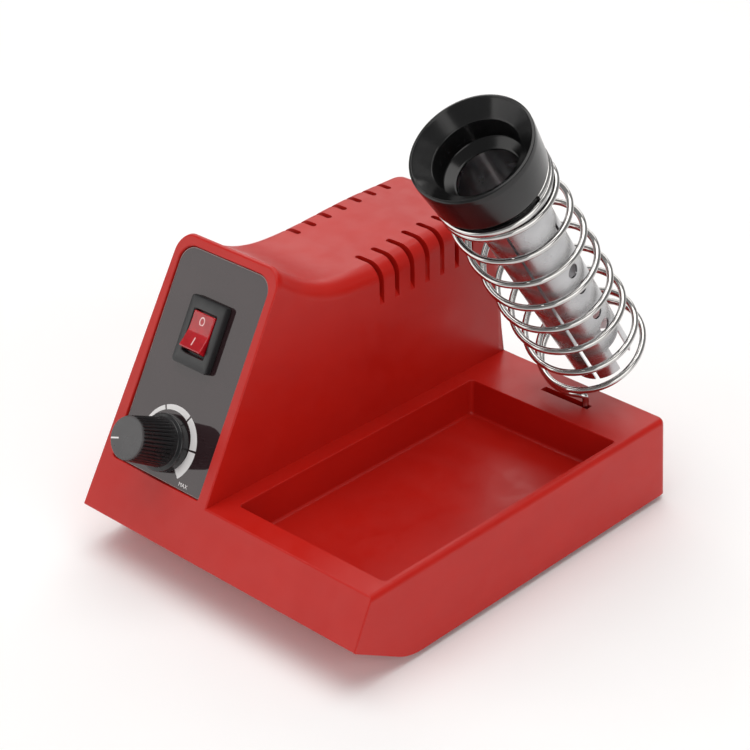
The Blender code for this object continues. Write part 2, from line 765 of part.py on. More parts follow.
def front_label():
    gap = CLEARANCE
    sides = (LABEL_LEFT + gap, LABEL_LOW + gap, LABEL_RIGHT - gap, LABEL_HIGH - gap)
    outline = rounded_rectangle(*sides, LABEL_CORNER - gap, "upper")
    made = prism("front_label", outline, gap - LABEL_POCKET, LABEL_FACE, PANEL, LABEL_INK)
    low = (CONTROL_X - SWITCH_HALF_X - gap, SWITCH_UP - SWITCH_HALF_UP - gap, -MARGIN)
    high = (CONTROL_X + SWITCH_HALF_X + gap, SWITCH_UP + SWITCH_HALF_UP + gap, MARGIN)
    cut(made, block("label_switch_hole", low, high, PANEL))
    place = (CONTROL_X, KNOB_UP, -MARGIN)
    cut(made, rod("label_pot_hole", place, BUSHING_RADIUS + gap, 2 * MARGIN, PANEL))


def rocker_outline(wall):
    """The rocker seen from the side, level: a shallow V on top and a rounded underside."""
    half = ROCKER_LENGTH / 2 - wall
    top = ROCKER_HEIGHT - wall
    low = -ROCKER_SKIRT - (MARGIN if wall else 0)
    dip = half * math.tan(ROCKER_TILT)
    return [(-half, low * 0.75), (-half * 0.8, low), (half * 0.8, low), (half, low * 0.75),
            (half, top), (half * 0.5, top - 0.62 * dip), (0, top - dip), (-half * 0.5, top - 0.62 * dip),
            (-half, top)]


def rocker_switch():
    gap = CLEARANCE
    low_face = LABEL_FACE + gap
    bezel = rounded_rectangle(
        CONTROL_X - BEZEL_WIDTH / 2, SWITCH_UP - BEZEL_LENGTH / 2,
        CONTROL_X + BEZEL_WIDTH / 2, SWITCH_UP + BEZEL_LENGTH / 2, BEZEL_BORDER,
    )
    case = prism("switch_body", bezel, low_face, low_face + BEZEL_HEIGHT, PANEL, BLACK)
    rear = low_face - SWITCH_DEPTH
    low = (CONTROL_X - SWITCH_HALF_X, SWITCH_UP - SWITCH_HALF_UP, rear)
    high = (CONTROL_X + SWITCH_HALF_X, SWITCH_UP + SWITCH_HALF_UP, low_face + gap)
    join(case, block("switch_block", low, high, PANEL))
    half_x = ROCKER_WIDTH / 2 + gap
    reach = math.hypot(ROCKER_LENGTH / 2, ROCKER_HEIGHT) * math.cos(
        math.atan2(ROCKER_HEIGHT, ROCKER_LENGTH / 2) - ROCKER_TILT
    )
    half_up = reach + gap
    low = (CONTROL_X - half_x, SWITCH_UP - half_up, low_face + BEZEL_HEIGHT - SWITCH_POCKET)
    high = (CONTROL_X + half_x, SWITCH_UP + half_up, MARGIN)
    cut(case, block("switch_pocket", low, high, PANEL))
    pin_reach = SWITCH_HALF_X - 2 * gap
    place = (CONTROL_X - pin_reach, SWITCH_UP, -ROCKER_PIVOT)
    cut(case, rod("trunnion_holes", place, TRUNNION_RADIUS + gap, 2 * pin_reach, PANEL, None, "X"))

    half = ROCKER_WIDTH / 2
    rocker = prism("switch_rocker", rocker_outline(0), -half, half, ROCKER_AXLE, LENS, "X")
    hollow = half - ROCKER_WALL
    cut(rocker, prism("rocker_hollow", rocker_outline(ROCKER_WALL), -hollow, hollow, ROCKER_AXLE, None, "X"))
    pin = pin_reach - gap
    for side in (-1, 1):
        start = min(side * (half - ROCKER_WALL / 2), side * pin)
        length = pin - half + ROCKER_WALL / 2
        name = "trunnion_left" if side < 0 else "trunnion_right"
        join(rocker, rod(name, (start, 0, 0), TRUNNION_RADIUS, length, ROCKER_AXLE, None, "X"))

    floor = low_face + BEZEL_HEIGHT - SWITCH_POCKET + gap
    rod("neon_lamp", (CONTROL_X, SWITCH_UP, floor), LAMP_RADIUS, LAMP_LENGTH, PANEL, GLASS, steps=12)
    across, thick, long = TERMINAL_SIZE
    for number in (1, 2, 3):
        up = SWITCH_UP + (number - 2) * TERMINAL_PITCH
        low = (CONTROL_X - across / 2, up - thick / 2, rear - gap - long)
        high = (CONTROL_X + across / 2, up + thick / 2, rear - gap)
        block(f"switch_terminal_{number}", low, high, PANEL, BRASS)


def potentiometer():
    gap = CLEARANCE
    rear = -FRONT_WALL - gap
    centre = Vector((CONTROL_X, KNOB_UP, 0))
    case = rod("pot_body", centre + Vector((0, 0, rear - POT_DEPTH)), POT_RADIUS, POT_DEPTH, PANEL, STEEL,
               steps=24)
    low = centre + Vector((0, 0, rear - gap))
    join(case, rod("pot_bushing", low, BUSHING_RADIUS, BUSHING_LENGTH + gap, PANEL))
    blind = centre + Vector((0, 0, rear - POT_BORE))
    cut(case, rod("pot_bore", blind, SHAFT_RADIUS + gap, 2 * POT_DEPTH, PANEL))
    washer = LABEL_FACE + gap
    ring("pot_washer", centre + Vector((0, 0, washer)), NUT_RADIUS + gap, BUSHING_RADIUS + gap,
         WASHER_HEIGHT, PANEL, STEEL)
    nut = washer + WASHER_HEIGHT + gap
    hexagon = rod("pot_nut", centre + Vector((0, 0, nut)), NUT_RADIUS, NUT_HEIGHT, PANEL, STEEL, steps=6)
    place = centre + Vector((0, 0, nut - MARGIN))
    cut(hexagon, rod("nut_bore", place, BUSHING_RADIUS + gap, 3 * MARGIN, PANEL))
    lug_rear = rear - LUG_DEPTH + LUG_SIZE[2]
    lug_top = Vector((CONTROL_X + LUG_SIZE[0] / 2, KNOB_UP - POT_RADIUS - gap, lug_rear))
    for number in (1, 2, 3):
        high = lug_top + Vector(((number - 2) * LUG_PITCH, 0, 0))
        block(f"pot_lug_{number}", high - Vector(LUG_SIZE), high, PANEL, BRASS)

    # The shaft, knob and cap turn together. Heights here are from the label's face.
    shaft_low = rear - POT_BORE + gap - LABEL_FACE
    shaft_high = KNOB_HEIGHT - KNOB_CAP_HEIGHT - KNOB_WEB
    rod("pot_shaft", (0, 0, shaft_low), SHAFT_RADIUS, shaft_high - shaft_low, KNOB_AXLE, STEEL)
    top = KNOB_HEIGHT
    cap_seat = top - KNOB_CAP_HEIGHT - gap
    bore = SHAFT_RADIUS + gap
    skirt = KNOB_LIFT + KNOB_SKIRT_HEIGHT
    turned(
        "knob",
        [
            (KNOB_TOP_RADIUS, top - gap),
            (KNOB_WAIST, skirt + gap),
            (KNOB_RADIUS, skirt - gap),
            (KNOB_RADIUS, KNOB_LIFT),
            (NUT_RADIUS + 4 * gap, KNOB_LIFT),
            (NUT_RADIUS + 4 * gap, KNOB_LIFT + KNOB_WELL),
            (bore, KNOB_LIFT + KNOB_WELL),
            (bore, shaft_high + gap),
            (bore / 2, shaft_high + gap),
            (bore / 2, cap_seat),
            (KNOB_CAP_RADIUS + gap, cap_seat),
            (KNOB_CAP_RADIUS + gap, top - gap),
        ],
        KNOB_AXLE,
        BLACK,
        24,
    )
    rod("knob_cap", (0, 0, cap_seat + gap), KNOB_CAP_RADIUS, KNOB_CAP_HEIGHT, KNOB_AXLE, CAP_GREY, steps=24)


def wire_run(name, places, steps=5):
    """A lead along a smooth curve through its own few places."""
    points = []
    ends = [places[0], *places, places[-1]]
    for i in range(len(places) - 1):
        before, start, end, after = (Vector(ends[i + k]) for k in range(4))
        for step in range(steps):
            t = step / steps
            points.append(
                0.5 * (2 * start + (end - before) * t + (2 * before - 5 * start + 4 * end - after) * t**2
                       + (3 * start - before - 3 * end + after) * t**3)
            )
    points.append(Vector(places[-1]))
    wire(name, points, WIRE_LEAD_RADIUS, STATION, INSULATION)


def leaded(name, place, radius, length, material):
    """A small axial component lying along Y, with its two leads bent down to the board."""
    foot = BOARD_HEIGHT + BOARD_THICK + CLEARANCE
    x, y, z = BOARD_LEFT + place[0], BOARD_FRONT + place[1], foot + radius + AXIAL_LIFT
    made = rod(name, (x, y - length / 2, z), radius, length, STATION, material, "Y", 12)
    reach = length / 2 + AXIAL_REACH
    span = AXIAL_REACH + CLEARANCE
    for side, label in ((-1, "front"), (1, "rear")):
        start = (x, y + min(side * (length / 2 - CLEARANCE), side * reach), z)
        lead = rod(f"{name}_{label}_lead", start, AXIAL_LEAD_RADIUS, span, STATION, None, "Y", 8)
        drop = (x, y + side * (reach - CLEARANCE), foot)
        leg = rod(f"{name}_{label}_leg", drop, AXIAL_LEG_RADIUS, z - foot, STATION, None, "Z", 8)
        join(made, lead, leg)


def box_on(name, place, size, low, material=None):
    """A block on the board, from the left front corner of its own foot."""
    corner = Vector((BOARD_LEFT + place[0], BOARD_FRONT + place[1], low))
    return block(name, corner, corner + Vector(size), STATION, material)


def sink_and_triac(top):
    """A plate with fins behind it, and the triac standing on its legs against the front of it."""
    left, front = SINK_PLACE
    sink = box_on("heat_sink", SINK_PLACE, SINK_SIZE, top, ALUMINIUM)
    for number in range(FIN_COUNT):
        place = (left + number * FIN_PITCH, front + SINK_SIZE[1] - CLEARANCE)
        join(sink, box_on(f"fin_{number}", place, FIN_SIZE, top + FIN_LIFT))
    wide, deep, tall = TRIAC_SIZE
    left += TRIAC_INSET
    rear = front - CLEARANCE
    triac = box_on("triac", (left, rear - deep), TRIAC_SIZE, top + TRIAC_LIFT, BLACK)
    tab_low = top + TRIAC_LIFT + tall - TRIAC_OVERLAP
    tab = box_on("triac_tab", (left, rear - TAB_THICK), (wide, TAB_THICK, TAB_HEIGHT), tab_low)
    join(triac, tab)
    leg_size = (LEG_SIZE, LEG_SIZE, TRIAC_LIFT + TRIAC_OVERLAP / 2)
    first = left + wide / 2 - LEG_PITCH * (LEG_COUNT - 1) / 2 - LEG_SIZE / 2
    for number in range(LEG_COUNT):
        place = (first + number * LEG_PITCH, rear - deep / 2 - LEG_SIZE)
        join(triac, box_on(f"triac_leg_{number}", place, leg_size, top))


def fuse_and_clips(top):
    x, z = BOARD_LEFT + FUSE_PLACE[0], top + FUSE_LIFT
    front = BOARD_FRONT + FUSE_PLACE[1]
    rod("fuse", (x, front, z), FUSE_RADIUS, FUSE_LENGTH, STATION, GLASS, "Y")
    wide, deep, _ = CLIP_SIZE
    spread = FUSE_LENGTH - deep - CLIP_INSET
    for number, inset in ((1, CLIP_INSET), (2, spread)):
        place = (FUSE_PLACE[0] - wide / 2, FUSE_PLACE[1] + inset)
        clip = box_on(f"fuse_clip_{number}", place, CLIP_SIZE, top, BRASS)
        start = (x, front + inset - MARGIN, z)
        groove = rod(f"clip_groove_{number}", start, FUSE_RADIUS + CLEARANCE, 3 * MARGIN, STATION, None, "Y")
        low = (x - CLIP_MOUTH / 2, start[1], z)
        high = (x + CLIP_MOUTH / 2, start[1] + 3 * MARGIN, z + 2 * MARGIN)
        cut(clip, groove, block(f"clip_mouth_{number}", low, high, STATION))


def terminals_corner():
    rear = BOARD_REAR - TERMINALS_REAR
    top = BOARD_HEIGHT + BOARD_THICK + CLEARANCE
    return Vector((BOARD_LEFT + TERMINALS_LEFT, rear - TERMINALS_SIZE[1], top))


def terminal_block():
    """Screw clamps for the mains, the iron's lead and the switch."""
    corner = terminals_corner()
    made = block("terminal_block", corner, corner + Vector(TERMINALS_SIZE), STATION, BOARD_BLOCK)
    for number in range(CLAMP_COUNT):
        hole = corner + Vector((CLAMP_FIRST + number * CLAMP_PITCH, -MARGIN, CLAMP_HEIGHT))
        screw = hole + Vector((0, MARGIN + TERMINALS_SIZE[1] - CLAMP_SCREW_INSET, 0))
        length = MARGIN + CLAMP_DEPTH
        cut(
            made,
            rod(f"clamp_{number}", hole, CLAMP_RADIUS, length, STATION, None, "Y", 10),
            rod(f"clamp_screw_{number}", screw, CLAMP_RADIUS, TERMINALS_SIZE[2], STATION, None, "Z", 10),
        )


def circuit_board():
    gap = CLEARANCE
    low = (BOARD_LEFT, BOARD_FRONT, BOARD_HEIGHT)
    high = (BOARD_RIGHT, BOARD_REAR, BOARD_HEIGHT + BOARD_THICK)
    board = block("circuit_board", low, high, STATION, LAMINATE)
    top = BOARD_HEIGHT + BOARD_THICK + gap
    for number, (x, y) in enumerate(board_screw_places(), 1):
        bore = SCREW_RADIUS + gap
        cut(board, rod(f"board_bore_{number}", (x, y, 0), bore, 2 * BOARD_HEIGHT, STATION))
        add_screw(f"board_screw_{number}", (x, y, top), BOARD_HEIGHT - COVER_TOP, -1)
    sink_and_triac(top)
    film = box_on("film_capacitor", FILM_PLACE, FILM_SIZE, top, FILM)
    round_edges(film, FILM_ROUNDING, lambda place, along: 1.0, 2)
    half = CHOKE_THICK / 2
    middle = CHOKE_HEIGHT / 2
    turns = (-2 * math.pi * step / 12 for step in range(12))
    section = [(CHOKE_BORE + half + half * math.cos(a), middle + middle * math.sin(a)) for a in turns]
    choke = turned("choke", section, STATION, FERRITE, 24)
    choke.location = (BOARD_LEFT + CHOKE_PLACE[0], BOARD_FRONT + CHOKE_PLACE[1], top)
    fuse_and_clips(top)
    for number, place in enumerate(RESISTOR_PLACES, 1):
        leaded(f"resistor_{number}", place, RESISTOR_RADIUS, RESISTOR_LENGTH, CERAMIC)
    leaded("diac", DIAC_PLACE, DIAC_RADIUS, DIAC_LENGTH, GLASS)
    terminal_block()


def leads():
    """Leads from the switch to the terminal block, and from the potentiometer to the board."""
    gap = CLEARANCE
    to_station = Matrix.Translation(PANEL.location) @ PANEL.rotation_euler.to_matrix().to_4x4()
    rear = LABEL_FACE - SWITCH_DEPTH - TERMINAL_SIZE[2] - 2 * gap
    corner = terminals_corner()
    for number, up, hole, side in ((1, -TERMINAL_PITCH, 0, -0.004), (2, TERMINAL_PITCH, 1, 0.0)):
        start = to_station @ Vector((CONTROL_X, SWITCH_UP + up, rear))
        inwards = to_station @ Vector((CONTROL_X + side / 2, SWITCH_UP + up, rear - 0.006))
        hole_x = corner.x + CLAMP_FIRST + hole * CLAMP_PITCH
        hole_z = corner.z + CLAMP_HEIGHT
        mouth = corner.y - gap
        wire_run(f"switch_wire_{number}", [
            start,
            inwards,
            (CONTROL_X - 0.009 + side, BOARD_FRONT + 0.006, 0.047 + 0.004 * number),
            (hole_x, BOARD_FRONT + 0.026, 0.041 + 0.003 * number),
            (hole_x, BOARD_FRONT + 0.043, 0.03),
            (hole_x, mouth - 0.006, hole_z + 0.002),
            (hole_x, mouth, hole_z),
        ])
    foot = BOARD_HEIGHT + BOARD_THICK + 2 * gap
    lug_low = KNOB_UP - POT_RADIUS - 2 * gap - LUG_SIZE[1]
    for number, lug in ((1, -1), (2, 1)):
        x = CONTROL_X + lug * LUG_PITCH
        start = to_station @ Vector((x, lug_low, -FRONT_WALL - LUG_DEPTH + LUG_SIZE[2] / 8))
        wire_run(f"pot_wire_{number}", [
            start,
            start + Vector((0, 0.0012, -0.003)),
            (x, BOARD_FRONT - 0.024, 0.0098),
            (x, BOARD_FRONT - 0.01, 0.0125),
            (x, BOARD_FRONT + 0.0015, foot + 0.0022),
            (x, BOARD_FRONT + 0.0022, foot),
        ], steps=4)


def bushings():
    for name, x, bore in outlets():
        sleeve = bore + OUTLET_SLEEVE
        wall = rear_y(OUTLET_HEIGHT)
        start = (x, wall - OUTLET_REACH, OUTLET_HEIGHT)
        flange = (x, wall + 2 * CLEARANCE, OUTLET_HEIGHT)
        length = OUTLET_REACH + 2 * CLEARANCE + OUTLET_FLANGE
        made = ring(f"{name}_bushing", start, sleeve, bore, length, STATION, RUBBER, "Y", 20)
        collar = rod(f"{name}_flange", flange, sleeve + OUTLET_RIM, OUTLET_FLANGE, STATION, None, "Y", 20)
        made.modifiers.clear()
        join(made, collar)
        bore_start = (x, wall - 4 * WALL, OUTLET_HEIGHT)
        cut(made, rod(f"{name}_passage", bore_start, bore, 10 * WALL, STATION, None, "Y", 20))


def coil_points():
    """The spring's wire in the station's frame: close turns, open turns, end turns, then the foot."""
    axis = Matrix.Translation(MOUTH) @ HOLDER_AXIS.rotation_euler.to_matrix().to_4x4()
    turns = COIL_TOP_TURNS + COIL_OPEN_TURNS + COIL_END_TURNS
    points = []
    for step in range(round(turns * COIL_STEPS) + 1):
        turn = step / COIL_STEPS
        close = min(turn, COIL_TOP_TURNS) + max(turn - COIL_TOP_TURNS - COIL_OPEN_TURNS, 0)
        opened = min(max(turn - COIL_TOP_TURNS, 0), COIL_OPEN_TURNS)
        along = COIL_START + close * COIL_CLOSE_PITCH + opened * COIL_PITCH
        angle = 2 * math.pi * turn
        points.append(axis @ Vector((COIL_RADIUS * math.cos(angle), COIL_RADIUS * math.sin(angle), -along)))
    return points


def foot_points(before, last):
    """From the last turn the wire bends down, drops into the socket and lies back along it."""
    drop_x = SOCKET_RIGHT - WIRE_RADIUS - 2 * CLEARANCE
    back_x = SOCKET_LEFT + WIRE_RADIUS + 2 * CLEARANCE
    low = DECK_HEIGHT - SOCKET_DEPTH + WIRE_RADIUS + 2 * CLEARANCE
    drop = Vector((drop_x, SOCKET_Y, DECK_HEIGHT + FOOT_BEND / 2))
    leaving = last + (last - before).normalized() * FOOT_ARCH
    arriving = drop + Vector((0, 0, FOOT_ARCH))
    path = []
    for step in range(1, 9):
        t = step / 8
        near, far = (1 - t) * last + t * leaving, (1 - t) * arriving + t * drop
        middle = (1 - t) * leaving + t * arriving
        first, second = (1 - t) * near + t * middle, (1 - t) * middle + t * far
        path.append((1 - t) * first + t * second)
    for step in range(5):
        angle = math.pi / 2 * step / 4
        across = drop_x - FOOT_BEND * (1 - math.cos(angle))
        path.append(Vector((across, SOCKET_Y, low + FOOT_BEND * (1 - math.sin(angle)))))
    path.append(Vector((back_x, SOCKET_Y, low)))
    return path


def holder_coil():
    turns = coil_points()
    wire("holder_coil", turns + foot_points(turns[-2], turns[-1]), WIRE_RADIUS, HOLDER, CHROME)


def holder_funnel():
    spigot = COIL_RADIUS * math.cos(math.pi / COIL_STEPS) - WIRE_RADIUS - CLEARANCE
    shoulder = FUNNEL_RADIUS - FUNNEL_WALL
    end = FUNNEL_DEPTH + FUNNEL_SPIGOT
    seat = TUBE_TOP_RADIUS + CLEARANCE
    turned(
        "holder_funnel",
        [
            (FUNNEL_RADIUS - FUNNEL_WALL / 2, 0),
            (FUNNEL_RADIUS, -FUNNEL_WALL),
            (shoulder, -FUNNEL_DEPTH + CLEARANCE),
            (spigot, -FUNNEL_DEPTH + CLEARANCE),
            (spigot, -end),
            (seat, -end),
            (seat, -FUNNEL_DEPTH),
            (FUNNEL_THROAT, -FUNNEL_DEPTH),
            (FUNNEL_THROAT, -FUNNEL_DEPTH + FUNNEL_WALL),
            (FUNNEL_STEP_RADIUS - FUNNEL_WALL / 2, -FUNNEL_DEPTH * 0.68),
            (FUNNEL_STEP_RADIUS, -FUNNEL_DEPTH * 0.5),
            (FUNNEL_RADIUS - FUNNEL_WALL, -FUNNEL_WALL / 2),
        ],
        HOLDER_AXIS,
        BLACK,
    )


def holder_tube():
    """A rolled sheet with an open seam that widens downwards, tapering a little, with vent holes."""
    steps = 24
    outer, inner = TUBE_TOP_RADIUS, TUBE_TOP_RADIUS - TUBE_SHEET
    sweep = [TUBE_SEAM + (2 * math.pi - 2 * TUBE_SEAM) * step / steps for step in range(steps + 1)]
    outline = [(outer * math.cos(angle), outer * math.sin(angle)) for angle in sweep]
    outline += [(inner * math.cos(angle), inner * math.sin(angle)) for angle in reversed(sweep)]
    top = -FUNNEL_DEPTH - CLEARANCE
    made = prism("holder_tube", outline, -TUBE_END, top, HOLDER_AXIS, ALUMINIUM)
    taper = TUBE_END_RADIUS / TUBE_TOP_RADIUS
    closing = (math.pi - TUBE_SEAM_END) / (math.pi - TUBE_SEAM)
    for vertex in made.data.vertices:
        if vertex.co.z < top - CLEARANCE:
            radius = math.hypot(vertex.co.x, vertex.co.y) * taper
            angle = math.atan2(-vertex.co.y, -vertex.co.x) * closing + TUBE_TWIST
            vertex.co.x = -radius * math.cos(angle)
            vertex.co.y = TUBE_END_SHIFT - radius * math.sin(angle)
    made.rotation_euler.z = TUBE_TURN
    reach = 2 * TUBE_TOP_RADIUS
    for number, along in enumerate(TUBE_HOLES, 1):
        drill = rod(f"tube_hole_{number}", (0, 0, 0), TUBE_HOLE_RADIUS, reach, HOLDER_AXIS, None, "X")
        drill.location.z = -along
        drill.rotation_euler.z = TUBE_HOLE_TURN
        cut(made, drill)
    openings = (
        ("tube_slot", TUBE_SLOT_WIDTH, TUBE_SLOT, TUBE_SLOT_LENGTH, TUBE_SLOT_TURN),
        ("tube_window", WINDOW_WIDTH, TUBE_END, 2 * WINDOW_LENGTH, WINDOW_TURN),
    )
    for name, width, along, length, turn in openings:
        low = (0, -width / 2, -along - length / 2)
        high = (reach, width / 2, -along + length / 2)
        punch = block(name, low, high, HOLDER_AXIS)
        punch.rotation_euler.z = turn
        cut(made, punch)


def centre_on_origin():
    """Stands the station on Z = 0 with the middle of its box over the origin."""
    bpy.context.view_layer.update()
    graph = bpy.context.evaluated_depsgraph_get()
    points = []
    for part in PARTS.objects:
        if part.type != "EMPTY":
            shown = part.evaluated_get(graph)
            points += [shown.matrix_world @ vertex.co for vertex in shown.to_mesh().vertices]
            shown.to_mesh_clear()
    low = Vector(map(min, zip(*points)))
    high = Vector(map(max, zip(*points)))
    STATION.location = (-(low.x + high.x) / 2, -(low.y + high.y) / 2, -low.z)
    bpy.context.view_layer.update()


housing()
bottom_cover()
front_label()
rocker_switch()
potentiometer()
circuit_board()
leads()
bushings()
holder_coil()
holder_funnel()
holder_tube()
centre_on_origin()
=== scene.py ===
import math

import bmesh
import bpy
from mathutils import Matrix, Vector


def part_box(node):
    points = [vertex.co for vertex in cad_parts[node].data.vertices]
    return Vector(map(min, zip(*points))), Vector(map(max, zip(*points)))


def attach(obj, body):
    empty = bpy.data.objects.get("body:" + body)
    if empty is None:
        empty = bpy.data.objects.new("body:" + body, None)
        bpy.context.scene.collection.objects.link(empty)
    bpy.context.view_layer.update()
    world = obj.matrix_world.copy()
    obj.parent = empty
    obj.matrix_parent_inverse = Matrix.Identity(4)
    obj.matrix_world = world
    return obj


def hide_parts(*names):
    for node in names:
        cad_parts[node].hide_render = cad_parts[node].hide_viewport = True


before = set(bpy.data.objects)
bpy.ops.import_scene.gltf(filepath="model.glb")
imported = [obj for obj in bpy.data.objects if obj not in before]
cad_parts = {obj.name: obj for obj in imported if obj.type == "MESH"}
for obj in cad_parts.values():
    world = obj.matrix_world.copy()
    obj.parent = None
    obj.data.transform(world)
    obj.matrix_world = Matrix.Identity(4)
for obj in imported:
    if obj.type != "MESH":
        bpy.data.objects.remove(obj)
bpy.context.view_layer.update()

WIDTH = 0.115
DEPTH = 0.143
DECK = 0.0269
TOWER_WIDTH = 0.0479
PANEL_TOP = 0.0905
ROOF = 0.0796
ROOF_DIP = 0.0778
ROOF_DIP_Y = 0.08
ROOF_LEVEL_Y = 0.1165
SWEEP_POWER = 2.58
PANEL_LIP = 0.0012
CROWN_REACH = 0.013
WALL = 0.0022
FRONT_WALL = 0.004
LEFT_DRAFT = 0.038
RIGHT_DRAFT = 0.042
TOWER_DRAFT = 0.017
REAR_DRAFT = 0.035
ROOF_EDGE = 0.0055
REAR_EDGE = 0.0028
REAR_ROOF = 0.007
SOFT_EDGE = 0.0018
FRONT_EDGE = 0.0005
FRONT_LEAN = math.radians(28.65)
CHIN_HEIGHT = 0.0126
CHIN_DEPTH = 0.022
CHIN_RADIUS = 0.02
MARGIN = 0.004
GAP = 0.0003

TRAY = (0.0531, 0.0159, 0.111, 0.1195)
TRAY_FLOOR = 0.0145
TRAY_CORNER = 0.0013
TRAY_LIP = 0.00035
TRAY_FOOT = 0.001

LABEL = (0.0058, 0.0174, 0.0435, 0.086)
LABEL_CORNER = 0.0055
LABEL_POCKET = 0.0016
LABEL_FACE = -0.0008
CONTROL_X = 0.02465
SWITCH_UP = 0.0627
KNOB_UP = 0.0286

MOUTH = (0.0838, 0.0809, 0.128)
HOLDER_ANGLE = math.radians(55)
WIRE = 0.00105
COIL_RADIUS = 0.01706
COIL_PITCH = 0.0123
COIL_CLOSE = 0.0024
TOP_TURNS = 1.86
OPEN_TURNS = 6.8
END_TURNS = 1.14
COIL_START = 0.0158
SOCKET = (0.0735, 0.0922)
SOCKET_Y = 0.1307
SOCKET_DEPTH = 0.0115
FOOT_BEND = 0.0022
FOOT_ARCH = 0.0026
COIL_STEPS = 64
WIRE_SIDES = 20

VENT_COUNT = 7
VENT_FIRST = 0.084
VENT_PITCH = 0.0069
VENT_HALF = 0.001
VENT_INSET = 0.012
VENT_SLOPE = 0.0125 / 0.0114

SWITCH_HOLE = (0.0067, 0.0097)
SPINDLE_HOLE = 0.0042
BEZEL_HALF = (0.0075, 0.0105)
BEZEL_HEIGHT = 0.002
WELL_HALF = (0.0047, 0.0066)
WELL_DEPTH = 0.0085
ROCKER_HALF = 0.0063
ROCKER_WIDE = 0.0044
ROCKER_HEIGHT = 0.0039
ROCKER_END_DRAFT = 0.0006
ROCKER_STEPS = 16
MARK_THICK = 0.00006
MARK_ROOT = 0.0001

OUTLET_HEIGHT = 0.021
OUTLET_START = 0.13
OUTLET_REACH = 0.02
OUTLETS = (("mains", 0.0145, 0.00535), ("lead", 0.0335, 0.0045))
SOCKET_HALF = 0.00135
COVER_SIDE = 0.0026
COVER_FRONT = 0.028

SCALE_RADIUS = 0.0116
SCALE_BOUNDS = (-140, -84, -28, 28, 84, 136)
SCALE_GAP = math.radians(1.7)
SCALE_WIDTH = 0.00155
SCALE_GROWTH = 0.0000109
SCALE_LEAST = 0.0002
PRINT_LIFT = 0.00002
FILM_EDGE_WIDTH = 0.00016
FILM_EDGE_LIFT = 0.00003
FILM_EDGE_ROOT = -0.0009
PANEL_CUT = 0.008
FILM_CUT = 0.01

STATION = Matrix.Translation(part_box("housing")[0])
PANEL = (
    STATION
    @ Matrix.Translation((0, 0, CHIN_HEIGHT))
    @ Matrix.Rotation(math.pi / 2 - FRONT_LEAN, 4, "X")
)
HOLDER = (
    STATION
    @ Matrix.Translation(MOUTH)
    @ Matrix.Rotation(math.pi / 2 - HOLDER_ANGLE, 4, "X")
)
ROCKER_TILT = math.radians(9.5)
ROCKER = (
    PANEL
    @ Matrix.Translation((CONTROL_X, SWITCH_UP, -0.001))
    @ Matrix.Rotation(-ROCKER_TILT, 4, "X")
)
KNOB = PANEL @ Matrix.Translation((CONTROL_X, KNOB_UP, LABEL_FACE))

for name in ("Cube", "Light", "Camera"):
    if name in bpy.data.objects:
        bpy.data.objects.remove(bpy.data.objects[name])


# ---------------------------------------------------------------- materials


def new_material(name):
    made = bpy.data.materials.new(name)
    made.use_nodes = True
    return made, made.node_tree.nodes, made.node_tree.links


def noise(nodes, links, scale, detail=2.0, stretch=(1, 1, 1)):
    """A noise in the object's own metres, so that it moves with its piece."""
    place = nodes.new("ShaderNodeTexCoord")
    mapping = nodes.new("ShaderNodeMapping")
    mapping.inputs["Scale"].default_value = stretch
    made = nodes.new("ShaderNodeTexNoise")
    made.inputs["Scale"].default_value = scale
    made.inputs["Detail"].default_value = detail
    links.new(place.outputs["Object"], mapping.inputs["Vector"])
    links.new(mapping.outputs["Vector"], made.inputs["Vector"])
    return made.outputs["Fac"]


def ramp(nodes, links, value, low, high, start=0.35, end=0.65):
    """Two colours or two greys spread over the noise."""
    made = nodes.new("ShaderNodeValToRGB")
    made.color_ramp.elements[0].position = start
    made.color_ramp.elements[1].position = end
    made.color_ramp.elements[0].color = (*low, 1)
    made.color_ramp.elements[1].color = (*high, 1)
    links.new(value, made.inputs["Fac"])
    return made.outputs["Color"]


def grey(value):
    return (value, value, value)


def bumped(nodes, links, shader, layers):
    """Stacks bumps of (height, strength, depth) on the shader's normal."""
    normal = None
    for height, strength, depth in layers:
        bump = nodes.new("ShaderNodeBump")
        bump.inputs["Strength"].default_value = strength
        bump.inputs["Distance"].default_value = depth
        links.new(height, bump.inputs["Height"])
        if normal:
            links.new(normal, bump.inputs["Normal"])
        normal = bump.outputs["Normal"]
    links.new(normal, shader.inputs["Normal"])


def moulded(name, dark, light, rough, grain=2600, relief=0.12, specular=0.5, coat=0.0):
    """Injection-moulded plastic: fine grain, faint flow marks and slightly uneven gloss."""
    made, nodes, links = new_material(name)
    shader = nodes["Principled BSDF"]
    flow = noise(nodes, links, 38, 4.0, (1, 1, 2.2))
    links.new(ramp(nodes, links, flow, dark, light), shader.inputs["Base Color"])
    patch = noise(nodes, links, 160, 5.0)
    links.new(ramp(nodes, links, patch, grey(rough[0]), grey(rough[1])), shader.inputs["Roughness"])
    shader.inputs["Specular IOR Level"].default_value = specular
    shader.inputs["Coat Weight"].default_value = coat
    shader.inputs["Coat Roughness"].default_value = 0.12
    fine = noise(nodes, links, grain, 2.0)
    wave = noise(nodes, links, 55, 1.0)
    bumped(nodes, links, shader, [(fine, relief, 0.00004), (wave, 0.05, 0.0006)])
    return made


